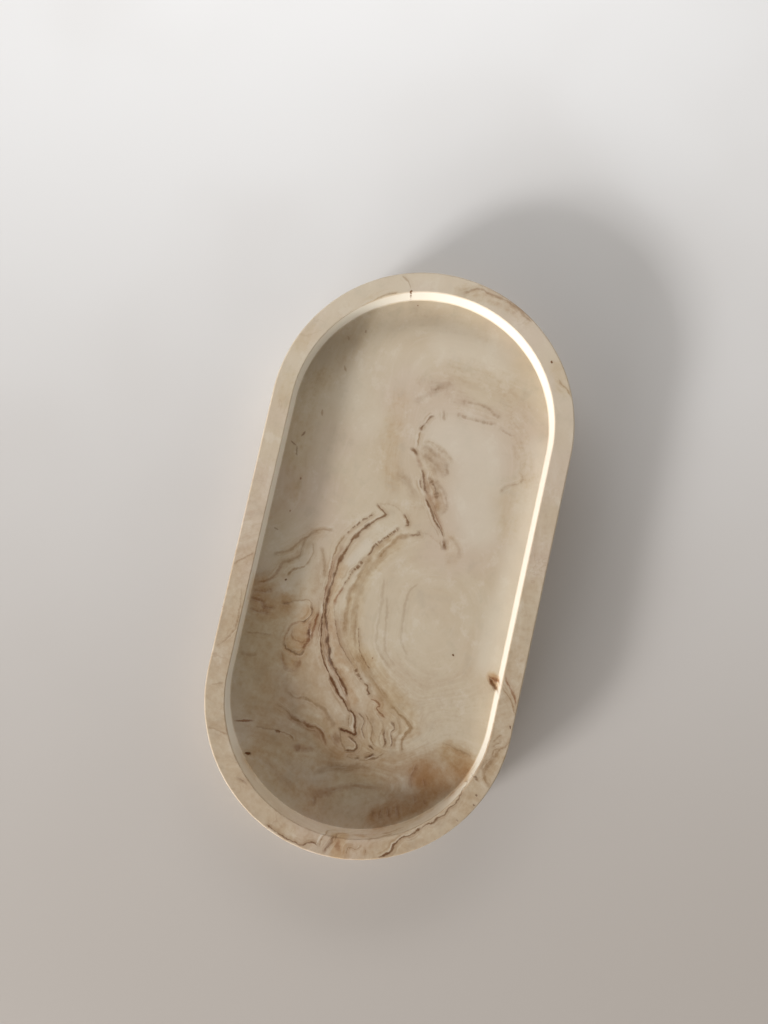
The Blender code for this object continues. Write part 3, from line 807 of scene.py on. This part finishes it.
class VeinLayer:
    """What the vertices carry of one set of veins that keep clear of each other."""

    def __init__(self, count):
        self.distance = np.full(count, VEIN_REACH_MM)
        self.trace = np.zeros((count, 3))
        self.trace[:, 0] = VEIN_REACH_MM
        self.style = np.zeros((count, 3))
        self.style[:, 0] = IDLE_WIDTH_MM

    def draw(self, vein, spots, share):
        """Adds one vein, as strong on each vertex as its share says."""
        pigment, width, strength, beads, points = vein
        path = rounded_path(points)
        total = np.hypot(*np.diff(path, axis=0).T).sum()
        taper = min(VEIN_TAPER_MM + TAPER_PER_WIDTH * width, total * MOST_TAPER)
        near = near_path(path, spots, VEIN_REACH_MM)
        near = near[share[near] > 0]
        signed, along = measure_from_path(path, spots[near])
        closer = np.abs(signed) < self.distance[near]
        near = near[closer]
        signed = signed[closer]
        along = along[closer]
        fade = smooth(0.0, taper, along) * smooth(0.0, taper, total - along)
        fade *= smooth(VEIN_REACH_MM, VEIN_FULL_REACH_MM, np.abs(signed))
        self.distance[near] = np.abs(signed)
        self.trace[near] = np.column_stack((signed, along, strength * fade * share[near]))
        self.style[near] = (width, pigment, beads)


def share_out(veins):
    """Gives each vein the layer whose earlier veins stay furthest from it, up to a clear distance."""
    taken = [[] for _ in range(LAYERS)]
    chosen = []
    for vein in veins:
        path = rounded_path(vein[-1])
        room = []
        for paths in taken:
            gaps = [np.abs(measure_from_path(other, path)[0]).min() for other in paths]
            room.append(min(gaps + [2 * VEIN_REACH_MM]))
        best = room.index(max(room))
        taken[best].append(path)
        chosen.append(best)
    return chosen


def flow_levels(spots):
    """A smooth height at each spot, through the contours' levels: the pour ran along its contours."""
    knots = np.array([point for _, points in FLOW_CONTOURS for point in points], float)
    levels = np.array([level for level, points in FLOW_CONTOURS for _ in points], float)

    def bend(ends):
        gap = np.hypot(ends[:, None, 0] - knots[None, :, 0], ends[:, None, 1] - knots[None, :, 1])
        return gap**2 * np.log(gap + TINY)

    size = len(knots)
    plane = np.column_stack((np.ones(size), knots))
    system = np.zeros((size + 3, size + 3))
    system[:size, :size] = bend(knots) + FLOW_SMOOTHING * np.eye(size)
    system[:size, size:] = plane
    system[size:, :size] = plane.T
    weights = np.linalg.solve(system, np.concatenate((levels, np.zeros(3))))
    return bend(spots) @ weights[:size] + np.column_stack((np.ones(len(spots)), spots)) @ weights[size:]


def stain_and_shade_depths(stains, spots, share):
    """The depth of each of the three washes at each spot."""
    depths = np.zeros((len(spots), 3))
    for *amounts, radius, points in stains:
        path = rounded_path(points)
        edge = WASH_EDGE * radius
        near = near_path(path, spots, edge)
        if not len(near):
            continue
        signed, _ = measure_from_path(path, spots[near])
        cover = smooth(edge, WASH_CORE * radius, np.abs(signed)) * share[near]
        added = cover[:, None] * np.array(amounts)
        depths[near] = 1.0 - (1.0 - depths[near]) * (1.0 - added)
    return depths


def pale_depths(spots):
    """How much each spot belongs to a pale patch: where the pigment kept out, and beside the right wall
    painted light.
    """
    pale = np.zeros(len(spots))
    for depth, radius, points in PALE_PATCHES:
        path = rounded_path(points)
        signed, _ = measure_from_path(path, spots)
        cover = smooth(PALE_EDGE * radius, PALE_CORE * radius, np.abs(signed))
        pale = np.maximum(pale, depth * cover)
    return pale


def store(mesh, name, kind, values):
    """Writes one value or vector for each vertex."""
    attribute = mesh.attributes.new(name, kind, "POINT")
    key = "value" if kind == "FLOAT" else "vector"
    attribute.data.foreach_set(key, np.ascontiguousarray(values, dtype=np.float32).ravel())


class BodyVertices:
    """Where the body's vertices lie, and how much of the floor's and of the rim's marbling each shows."""

    def __init__(self, mesh, section):
        values = np.zeros(len(mesh.vertices) * 3)
        mesh.vertices.foreach_get("co", values)
        self.places = values.reshape(-1, 3) / MM
        height = self.places[:, 2]
        inset = section.inset(self.places)
        self.inside = inset > RIM_WIDTH_MM - TOUCH_MM
        self.outside = inset < TOUCH_MM
        self.up_wall = height - section.floor
        self.down_wall = section.rim - height

        self.floor_share = np.where(self.inside, smooth(WALL_FADE_MM, WALL_FULL_MM, self.up_wall), 0.0)
        self.floor_share[height < section.floor - TOUCH_MM] = 0.0
        waves = self.places[:, :2] * np.array(OUTER_FADE_WAVES)
        uneven = OUTER_FADE_SHARE + OUTER_FADE_SWING * np.sin(waves[:, 0]) * np.cos(waves[:, 1])
        rim_fade = np.where(self.inside, WALL_FADE_MM, OUTER_FADE_MM * uneven)
        self.rim_share = smooth(rim_fade, WALL_FULL_MM, self.down_wall)
        self.rim_share[height < section.base + UNDERSIDE_CLEAR_MM] = 0.0

    def spots(self, section):
        """Where each vertex takes the floor's and the rim's marbling from.

        Both sway along the walls, and the rim's unrolls down the inner one.
        """
        inner = np.minimum(self.up_wall, self.down_wall)
        off_edge = np.where(self.inside, inner, self.down_wall * self.outside)
        sway = WALL_SWAY_MM * np.sin(self.places @ np.array(WALL_SWAY_WAVES)) * off_edge / WALL_FADE_MM
        along = section.along_wall(self.places)
        inward = np.column_stack((-along[:, 1], along[:, 0]))
        spots = self.places[:, :2] + along * sway[:, None]
        return spots, spots + inward * np.where(self.inside, self.down_wall, 0.0)[:, None]


def store_veins(mesh, parts):
    """Draws the veins of each part, given as (veins, spots, shares), into the layers."""
    layers = [VeinLayer(len(mesh.vertices)) for _ in range(LAYERS)]
    for veins, spots, share in parts:
        for vein, number in zip(veins, share_out(veins)):
            layers[number].draw(vein, spots, share)
    for number, layer in enumerate(layers):
        store(mesh, f"vein_trace_{number}", "FLOAT_VECTOR", layer.trace)
        store(mesh, f"vein_style_{number}", "FLOAT_VECTOR", layer.style)


def marble(mesh, section):
    """Puts the veins, the stain washes and washes of painted shade, the pale tones and painted light, and the
    flow on the mesh's vertices.
    """
    vertices = BodyVertices(mesh, section)
    floor_spots, rim_spots = vertices.spots(section)
    store_veins(mesh, ((FLOOR_VEINS, floor_spots, vertices.floor_share),
                       (RIM_VEINS, rim_spots, vertices.rim_share)))

    along_tray = vertices.places[:, 0]
    rim_top = 1.0 - smooth(*WALL_BAND_MM, vertices.down_wall)
    # Painted shade: the rim's top darker towards the lower end
    rim_painted_shade = rim_top * smooth(*RIM_PAINTED_SHADE_BAND_MM, along_tray)
    # Tan, smoke and rust washes: the stains of rim and floor, with the rim's painted shade and the floor's
    # washes of painted shade
    stains = np.maximum(stain_and_shade_depths(RIM_STAINS, rim_spots, vertices.rim_share),
                        rim_painted_shade[:, None] * np.array(RIM_PAINTED_SHADE))
    stains = np.maximum(stains, stain_and_shade_depths(FLOOR_STAINS_AND_SHADE, floor_spots, vertices.floor_share))
    store(mesh, "stains", "FLOAT_VECTOR", stains)

    on_wall = smooth(*WALL_BAND_MM, vertices.up_wall) * smooth(*WALL_BAND_MM, vertices.down_wall)
    # Painted light: the inner walls paler, fading out towards the lower end
    wall_painted_light = vertices.inside * on_wall * INNER_WALL_PAINTED_LIGHT * smooth(*WALL_PAINTED_LIGHT_BAND_MM, along_tray)
    # Painted light: the rim's top paler towards the upper end
    rim_painted_light = rim_top * RIM_PAINTED_LIGHT * smooth(*RIM_PAINTED_LIGHT_BAND_MM, along_tray)
    # Pale patches of the floor, one of them painted light beside the right wall
    floor_pale = pale_depths(floor_spots) * vertices.floor_share
    store(mesh, "pale", "FLOAT", np.maximum(floor_pale, wall_painted_light + rim_painted_light))

    store(mesh, "flow", "FLOAT", flow_levels(vertices.places[:, :2]) + vertices.up_wall * WALL_FLOW)
    outer_wild = RIM_WILDNESS + (1.0 - RIM_WILDNESS) * smooth(0.0, WILD_FADE_MM, vertices.down_wall)
    wild = np.where(vertices.inside, RIM_WILDNESS, outer_wild)
    store(mesh, "wild", "FLOAT", wild * (1.0 - vertices.floor_share))


class Shader:
    """A node tree, written as calls that each add one node and give back what comes out of it."""

    def __init__(self, tree):
        self.tree = tree

    def node(self, kind, **settings):
        made = self.tree.nodes.new(kind)
        for name, value in settings.items():
            setattr(made, name, value)
        return made

    def put(self, socket, value):
        if isinstance(value, bpy.types.NodeSocket):
            self.tree.links.new(value, socket)
        else:
            socket.default_value = value

    def math(self, operation, *values, clamp=False):
        made = self.node("ShaderNodeMath", operation=operation, use_clamp=clamp)
        for socket, value in zip(made.inputs, values):
            self.put(socket, value)
        return made.outputs[0]

    def add(self, first, second):
        return self.math("ADD", first, second)

    def times(self, first, second):
        return self.math("MULTIPLY", first, second)

    def scale_add(self, value, factor, offset):
        return self.math("MULTIPLY_ADD", value, factor, offset)

    def swing(self, pattern, reach):
        """The pattern about its middle of a half, from side to side as far as reach."""
        return self.times(self.add(pattern, -0.5), reach)

    def between(self, value, low, high, out_low=0.0, out_high=1.0):
        """Rises smoothly from out_low to out_high as the value goes from low to high."""
        made = self.node("ShaderNodeMapRange", interpolation_type="SMOOTHSTEP")
        for name, setting in (("Value", value), ("From Min", low), ("From Max", high),
                              ("To Min", out_low), ("To Max", out_high)):
            self.put(made.inputs[name], setting)
        return made.outputs["Result"]

    def vector(self, x, y, z):
        made = self.node("ShaderNodeCombineXYZ")
        for socket, value in zip(made.inputs, (x, y, z)):
            self.put(socket, value)
        return made.outputs[0]

    def split(self, vector):
        made = self.node("ShaderNodeSeparateXYZ")
        self.put(made.inputs[0], vector)
        return tuple(made.outputs)

    def noise(self, vector, scale, detail=2.0, roughness=0.5, distortion=0.0):
        made = self.node("ShaderNodeTexNoise")
        for name, setting in (("Vector", vector), ("Scale", scale), ("Detail", detail),
                              ("Roughness", roughness), ("Distortion", distortion)):
            self.put(made.inputs[name], setting)
        return made.outputs[0]

    def warped(self, vector, scale=1.0, reach=0.8):
        """The vector, pushed about by noise as far as half of reach."""
        made = self.node("ShaderNodeTexNoise")
        self.put(made.inputs["Vector"], vector)
        self.put(made.inputs["Scale"], scale)
        push = self.node("ShaderNodeVectorMath", operation="MULTIPLY_ADD")
        self.put(push.inputs[0], made.outputs["Color"])
        self.put(push.inputs[1], (reach, reach, 0.0))
        self.put(push.inputs[2], vector)
        back = self.node("ShaderNodeVectorMath", operation="ADD")
        self.put(back.inputs[0], push.outputs["Vector"])
        self.put(back.inputs[1], (-reach / 2, -reach / 2, 0.0))
        return back.outputs["Vector"]

    def mix(self, first, second, amount, blend="MIX"):
        made = self.node("ShaderNodeMix", data_type="RGBA", blend_type=blend)
        self.put(made.inputs[0], amount)
        for number, colour in zip(MIX_COLOURS_IN, (first, second)):
            self.put(made.inputs[number], colour)
        return made.outputs[MIX_COLOUR_OUT]

    def gamma(self, colour, power):
        made = self.node("ShaderNodeGamma")
        self.put(made.inputs["Color"], colour)
        self.put(made.inputs["Gamma"], power)
        return made.outputs["Color"]

    def bump(self, height, strength, distance):
        made = self.node("ShaderNodeBump")
        for name, setting in (("Height", height), ("Strength", strength), ("Distance", distance)):
            self.put(made.inputs[name], setting)
        return made.outputs["Normal"]

    def vertex_value(self, name):
        return self.node("ShaderNodeAttribute", attribute_name=name).outputs["Fac"]

    def vertex_vector(self, name):
        return self.node("ShaderNodeAttribute", attribute_name=name).outputs["Vector"]


def new_material(name):
    """A material with an empty tree but for its shader, and the place in mm as a vector."""
    material = bpy.data.materials.new(name)
    material.use_nodes = True
    shader = Shader(material.node_tree)
    principled = material.node_tree.nodes["Principled BSDF"]
    place = shader.node("ShaderNodeVectorMath", operation="SCALE")
    coordinates = shader.node("ShaderNodeTexCoord")
    shader.put(place.inputs["Vector"], coordinates.outputs["Object"])
    shader.put(place.inputs["Scale"], 1.0 / MM)
    return material, shader, principled, place.outputs["Vector"]


def pigment_ramp(shader, pigment):
    """The tint that a vein's pigment number stands for."""
    ramp = shader.node("ShaderNodeValToRGB")
    elements = ramp.color_ramp.elements
    elements.remove(elements[0])
    elements[0].position = UMBER
    elements[0].color = linear(PIGMENT_TINTS[UMBER])
    for position in (OLIVE, RUST, SMOKE):
        elements.new(position).color = linear(PIGMENT_TINTS[position])
    shader.put(ramp.inputs["Fac"], pigment)
    return ramp.outputs["Color"]


def vein_group():
    """Draws one layer of veins over a colour: a broken core, a wash to its left, and faint lines near it."""
    tree = bpy.data.node_groups.new("vein_layer", "ShaderNodeTree")
    for name, kind in (("Colour", "NodeSocketColor"), ("Trace", "NodeSocketVector"),
                       ("Style", "NodeSocketVector"), ("Wobble", "NodeSocketFloat"),
                       ("Grain", "NodeSocketFloat")):
        tree.interface.new_socket(name, in_out="INPUT", socket_type=kind)
    tree.interface.new_socket("Colour", in_out="OUTPUT", socket_type="NodeSocketColor")
    shader = Shader(tree)
    given = shader.node("NodeGroupInput").outputs
    distance, along, strength = shader.split(given["Trace"])
    width, pigment, beads = shader.split(given["Style"])

    off_line = shader.add(distance, given["Wobble"])
    away = shader.math("ABSOLUTE", off_line)
    per_pigment, per_width = SEED_STEPS
    seed = shader.scale_add(pigment, per_pigment, shader.times(width, per_width))
    track = shader.vector(along, seed, 0.0)
    swell = shader.noise(track, SWELL_PER_MM, detail=2.0)
    half = shader.times(width, shader.between(swell, *SWELL_BAND, *HALF_WIDTH_SHARE))
    edge = shader.scale_add(width, CORE_EDGE_SHARE, CORE_EDGE_MM)
    core = shader.between(away, shader.add(half, edge), shader.math("SUBTRACT", half, edge))
    bead = shader.between(shader.noise(track, BEADS_PER_MM, detail=1.0), *BEAD_BAND)
    gaps = shader.math("SUBTRACT", 1.0, shader.times(beads, shader.math("SUBTRACT", 1.0, bead)))
    grained = shader.between(given["Grain"], *CORE_GRAIN_BAND, *CORE_GRAIN)
    solid = shader.times(shader.times(core, gaps), grained)

    soak = shader.times(shader.between(off_line, SOAK_REACH_MM, 0.0),
                        shader.between(off_line, *SOAK_START_MM))
    per_side, per_length = LAYERING_PER_MM
    beside = shader.vector(shader.times(off_line, per_side), shader.times(along, per_length), seed)
    layering = shader.noise(beside, 1.0, detail=3.0, roughness=0.6)
    nearness = shader.times(shader.between(away, *NEAR_VEIN_MM), strength)
    echo = shader.times(shader.between(layering, *ECHO_BAND), ECHO_SHARE)
    soft = shader.times(shader.math("MAXIMUM", shader.times(soak, SOAK_SHARE), echo), nearness)
    pale_lines = shader.times(shader.between(layering, *PALE_LINE_BAND), nearness)

    tint = pigment_ramp(shader, pigment)
    lifted = shader.mix(given["Colour"], linear(PALE_STONE), shader.times(pale_lines, PALE_LINE_SHARE))
    soaked = shader.mix(lifted, shader.gamma(tint, SOAK_GAMMA), soft, "MULTIPLY")
    coloured = shader.mix(soaked, shader.gamma(tint, 1.0 - SOAK_GAMMA * SOAK_SHARE),
                          shader.math("MULTIPLY", solid, strength, clamp=True), "MULTIPLY")
    out = shader.node("NodeGroupOutput")
    shader.put(out.inputs["Colour"], coloured)
    return tree


def stone_base(shader, place, flow, wild):
    """The stone without its drawn veins: cloudy tones, soft bands along the flow, stray thin veins."""
    x, y, z = shader.split(place)
    patterns = {name: shader.noise(place, *settings) for name, settings in CLOUDY_PATTERNS.items()}
    for name, (across, along, detail, roughness) in FLOWING_PATTERNS.items():
        side = shader.scale_add(y, along, shader.times(z, along * DOWNWARD_SHARE))
        drawn_out = shader.vector(shader.times(flow, across), shader.times(x, along), side)
        patterns[name] = shader.noise(drawn_out, 1.0, detail, roughness)

    both = shader.add(shader.times(patterns["bands"], 0.5), shader.times(patterns["clouds"], 0.5))
    tone = shader.between(both, *TONE_BAND)
    colour = shader.mix(linear(IVORY), linear(SAND), shader.times(tone, TONE_DEPTH))
    for name, tint, band, depth in STONE_TONES:
        colour = shader.mix(colour, linear(tint), shader.between(patterns[name], *band, 0.0, depth))

    contour = shader.math("ABSOLUTE", shader.add(shader.noise(place, *STRAY_NOISE), -0.5))
    stray = shader.between(contour, *STRAY_EDGE)
    presence = shader.between(shader.noise(place, *STRAY_PLACES), *STRAY_PLACE_BAND)
    stray_amount = shader.times(shader.times(stray, presence), shader.times(wild, STRAY_DEPTH))
    colour = shader.mix(colour, linear(PIGMENT_TINTS[RUST]), stray_amount, "MULTIPLY")
    return colour, patterns["streaks"], patterns["mottle"]


def washes_with_painted_light_and_shade(shader, colour, streaks, mottle, pale):
    """Pale stone and the painted highlight's white, then the three washes, cloudy inside and ragged where
    they thin out.
    """
    # Paler stone for the pale patches, and as painted light on the inner walls, the rim's upper end and
    # beside the right wall
    colour = shader.mix(colour, linear(PALE_STONE), shader.times(pale, PALE_SHARE))
    # Painted highlight: the inner walls turn near-white where pale goes above 1
    colour = shader.mix(colour, linear(PAINTED_HIGHLIGHT_WHITE), shader.between(pale, *PAINTED_HIGHLIGHT_BAND, 0.0, PAINTED_HIGHLIGHT_DEPTH))
    ragged = shader.add(shader.swing(streaks, RAGGED_STREAKS), shader.swing(mottle, RAGGED_MOTTLE))
    # Tan, smoke and rust washes: stains, and in places painted shade of the walls and of the rim's lower end
    depths = shader.split(shader.vertex_vector("stains"))
    for depth, wash in zip(depths, (TAN_WASH, SMOKE_WASH, RUST_WASH)):
        present = shader.between(depth, *WASH_START)
        soaked = shader.between(shader.scale_add(ragged, RAGGED_DEPTH, depth), 0.0, 1.0)
        amount = shader.math("MULTIPLY", soaked, present, clamp=True)
        colour = shader.mix(colour, linear(wash), amount, "MULTIPLY")
    return colour


def scattered_dots(shader, place, density, radius):
    """Small round dots, one in each cell; the radius is a share of the cells' size."""
    cells = shader.node("ShaderNodeTexVoronoi", feature="F1")
    shader.put(cells.inputs["Vector"], place)
    shader.put(cells.inputs["Scale"], density)
    return shader.between(cells.outputs["Distance"], radius, radius * DOT_CORE)


def draw_flecks(shader, colour, place):
    """The short dark marks, each an ellipse with a soft edge that goes down through the stone."""
    for pigment, depth, (x, y), length, width, turn in FLECKS:
        local = shader.node("ShaderNodeMapping", vector_type="TEXTURE")
        shader.put(local.inputs["Vector"], place)
        shader.put(local.inputs["Location"], (x, y, 0.0))
        shader.put(local.inputs["Rotation"], (0.0, 0.0, math.radians(turn)))
        shader.put(local.inputs["Scale"], (length / 2, width / 2, FLECK_DEPTH_MM))
        reach = shader.node("ShaderNodeVectorMath", operation="LENGTH")
        shader.put(reach.inputs[0], local.outputs["Vector"])
        amount = shader.between(reach.outputs["Value"], *FLECK_EDGE, 0.0, depth)
        colour = shader.mix(colour, linear(PIGMENT_TINTS[pigment]), amount, "MULTIPLY")
    return colour


def marbled_stone():
    """Cast stone: the marbling in its colour, with light and shade painted into it in places, and a satin
    skin with fine grain and a few pinholes.
    """
    material, shader, principled, place = new_material("marbled_stone")
    flow = shader.vertex_value("flow")
    wild = shader.vertex_value("wild")
    # pale holds pigment-free patches, and painted light on the inner walls, on the rim's upper end and beside
    # the right wall
    pale = shader.vertex_value("pale")
    colour, streaks, mottle = stone_base(shader, place, flow, wild)
    colour = washes_with_painted_light_and_shade(shader, colour, streaks, mottle, pale)

    slow, fast = (shader.swing(shader.noise(place, scale, detail), reach) for scale, detail, reach in WOBBLES)
    wobble = shader.add(slow, fast)
    group = vein_group()
    for number in range(LAYERS):
        layer = shader.node("ShaderNodeGroup", node_tree=group)
        shader.put(layer.inputs["Colour"], colour)
        shader.put(layer.inputs["Trace"], shader.vertex_vector(f"vein_trace_{number}"))
        shader.put(layer.inputs["Style"], shader.vertex_vector(f"vein_style_{number}"))
        shader.put(layer.inputs["Wobble"], wobble)
        shader.put(layer.inputs["Grain"], mottle)
        colour = layer.outputs["Colour"]

    colour = draw_flecks(shader, colour, shader.warped(place))
    pinhole = scattered_dots(shader, place, *PINHOLES)
    speck = scattered_dots(shader, place, *SPECKS)
    colour = shader.mix(colour, linear(PIGMENT_TINTS[RUST]), shader.times(speck, SPECK_DEPTH), "MULTIPLY")
    grain = shader.noise(place, GRAIN_PER_MM, detail=3.0, roughness=0.6)
    shader.put(principled.inputs["Base Color"], colour)
    shader.put(principled.inputs["Roughness"], shader.between(grain, *GRAIN_BAND, *STONE_ROUGHNESS))
    shader.put(principled.inputs["Specular IOR Level"], STONE_SPECULAR)
    uneven = shader.add(shader.times(mottle, MOTTLE_RELIEF), shader.times(pinhole, PINHOLE_RELIEF))
    relief = shader.add(shader.times(grain, GRAIN_RELIEF), uneven)
    shader.put(principled.inputs["Normal"], shader.bump(relief, *STONE_RELIEF))
    return material


def bumper_rubber():
    """Clear soft rubber, a little cloudy and dusty, as one mottled skin."""
    material, shader, principled, place = new_material("clear_rubber")
    cloud = shader.between(shader.noise(place, RUBBER_CLOUDS_PER_MM, detail=3.0), *RUBBER_CLOUD_BAND)
    dust = shader.noise(place, DUST_PER_MM, detail=4.0, roughness=0.7)
    colour = shader.mix(linear(RUBBER_CLEAR), linear(RUBBER_CLOUDY), cloud)
    dusty = shader.times(shader.between(dust, *DUST_BAND), DUST_DEPTH)
    colour = shader.mix(colour, linear(PALE_STONE), dusty)
    shader.put(principled.inputs["Base Color"], colour)
    shader.put(principled.inputs["Roughness"], shader.between(dust, *MIDDLE_BAND, *RUBBER_ROUGHNESS))
    shader.put(principled.inputs["Normal"], shader.bump(dust, *RUBBER_RELIEF))
    return material


def dress_tray(nodes, section):
    """The fine body in place of the CAD one, and a better rubber on the CAD feet."""
    mesh = build_body_mesh(section)
    marble(mesh, section)
    mesh.materials.append(marbled_stone())
    body = bpy.data.objects.new("tray_stone", mesh)
    bpy.context.scene.collection.objects.link(body)
    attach(body, "root")
    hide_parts("tray_body")

    rubber = bumper_rubber()
    for name, item in nodes.items():
        if name.startswith("foot_"):
            for slot in item.material_slots:
                slot.material = rubber


def shows_background(shader):
    """1 for the rays that show the background: straight from the camera, mirrored or through glass."""
    ray = shader.node("ShaderNodeLightPath").outputs
    indirect = shader.add(ray["Is Glossy Ray"], ray["Is Transmission Ray"])
    return shader.math("ADD", ray["Is Camera Ray"], indirect, clamp=True)


def or_backdrop(shader, kind, usual, share):
    """A surface that is the plain white backdrop by as much as the share says, else the usual one."""
    backdrop = shader.node(kind)
    shader.put(backdrop.inputs["Color"], (1.0, 1.0, 1.0, 1.0))
    shader.put(backdrop.inputs["Strength"], BACKDROP)
    choice = shader.node("ShaderNodeMixShader")
    shader.put(choice.inputs["Fac"], share)
    shader.put(choice.inputs[1], usual)
    shader.put(choice.inputs[2], backdrop.outputs[0])
    return choice.outputs[0]


def add_table_top():
    """A broad pale surface, paler at the far end of the picture as painted light, that ends in the backdrop.
    """
    mesh = bpy.data.meshes.new("table_top")
    reach = TABLE_REACH
    mesh.from_pydata([(-reach, -reach, 0), (reach, -reach, 0), (reach, reach, 0), (-reach, reach, 0)],
                     [], [(0, 1, 2, 3)])
    table = bpy.data.objects.new("table_top", mesh)
    bpy.context.scene.collection.objects.link(table)
    material, shader, principled, place = new_material("table_top")
    x, y, _ = shader.split(place)
    lift = shader.add(shader.times(x, math.cos(math.radians(CAMERA_ROLL))),
                      shader.times(y, math.sin(math.radians(CAMERA_ROLL))))
    # Painted light: the table paler towards the far end of the picture
    fade = shader.between(lift, *TABLE_PAINTED_LIGHT_BAND_MM)
    colour = shader.mix(linear(TABLE_NEAR), linear(TABLE_FAR_PAINTED_LIGHT), fade)
    haze = shader.noise(place, HAZE_PER_MM, detail=2.0)
    hazy = shader.times(shader.between(haze, *HAZE_BAND), HAZE_DEPTH)
    colour = shader.mix(colour, linear(TABLE_NEAR), hazy)
    shader.put(principled.inputs["Base Color"], colour)
    shader.put(principled.inputs["Roughness"], shader.between(haze, *MIDDLE_BAND, *TABLE_ROUGHNESS))
    shader.put(principled.inputs["Specular IOR Level"], TABLE_SPECULAR)

    distance = shader.node("ShaderNodeVectorMath", operation="LENGTH")
    shader.put(distance.inputs[0], place)
    end = shader.between(distance.outputs["Value"], *TABLE_END_MM)
    share = shader.times(shows_background(shader), end)
    surface = or_backdrop(shader, "ShaderNodeEmission", principled.outputs[0], share)
    shader.put(material.node_tree.nodes["Material Output"].inputs["Surface"], surface)
    mesh.materials.append(material)


def add_lamp(name, place, size, power):
    """A rectangle of light that faces the tray."""
    lamp = bpy.data.lights.new(name, "AREA")
    lamp.shape = "RECTANGLE"
    lamp.size, lamp.size_y = size
    lamp.energy = power
    item = bpy.data.objects.new(name, lamp)
    item.location = place
    away = Vector(place) - Vector(LAMP_AIM)
    item.rotation_euler = away.to_track_quat("Z", "Y").to_euler()
    item.visible_camera = False
    bpy.context.scene.collection.objects.link(item)


def add_light():
    """A window and a longer, lower one beside it, one past the far end, and a warm surround."""
    for name, place, size, power in LAMPS:
        add_lamp(name, place, size, power)

    world = bpy.data.worlds.new("surround")
    world.use_nodes = True
    bpy.context.scene.world = world
    shader = Shader(world.node_tree)
    light = world.node_tree.nodes["Background"]
    shader.put(light.inputs["Color"], WORLD_COLOUR)
    rise = shader.split(shader.node("ShaderNodeTexCoord").outputs["Generated"])[2]
    shader.put(light.inputs["Strength"], shader.between(rise, *WORLD_BAND, WORLD_LOW, WORLD_HIGH))
    surface = or_backdrop(shader, "ShaderNodeBackground", light.outputs[0], shows_background(shader))
    shader.put(world.node_tree.nodes["World Output"].inputs["Surface"], surface)


def add_camera():
    """The picture's camera, turned so that the tray leans to the right in it."""
    lens = bpy.data.cameras.new("camera")
    lens.lens = CAMERA_LENS
    lens.sensor_width = CAMERA_SENSOR
    camera = bpy.data.objects.new("camera", lens)
    place = Vector(CAMERA_PLACE)
    forward = (Vector(CAMERA_AIM) - place).normalized()
    roll = math.radians(CAMERA_ROLL)
    right = forward.cross(Vector((math.cos(roll), math.sin(roll), 0.0))).normalized()
    up = right.cross(forward)
    turn = Matrix((right, up, -forward)).transposed()
    camera.matrix_world = Matrix.Translation(place) @ turn.to_4x4()
    bpy.context.scene.collection.objects.link(camera)
    bpy.context.scene.camera = camera


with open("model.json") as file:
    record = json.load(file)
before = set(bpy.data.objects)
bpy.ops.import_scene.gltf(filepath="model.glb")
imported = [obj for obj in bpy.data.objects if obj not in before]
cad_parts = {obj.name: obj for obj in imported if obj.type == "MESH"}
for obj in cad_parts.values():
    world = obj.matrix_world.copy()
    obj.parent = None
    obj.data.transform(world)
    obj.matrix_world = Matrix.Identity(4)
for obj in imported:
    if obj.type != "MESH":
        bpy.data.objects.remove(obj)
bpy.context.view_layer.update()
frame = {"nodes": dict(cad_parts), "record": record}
well_floor = next(mount for mount in frame["record"]["mounts"] if mount["name"] == "well_floor")
dress_tray(frame["nodes"], TraySection(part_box("tray_body"), well_floor["pos_m"][2]))
add_table_top()
add_light()
add_camera()
bpy.context.scene.view_settings.view_transform = "Standard"
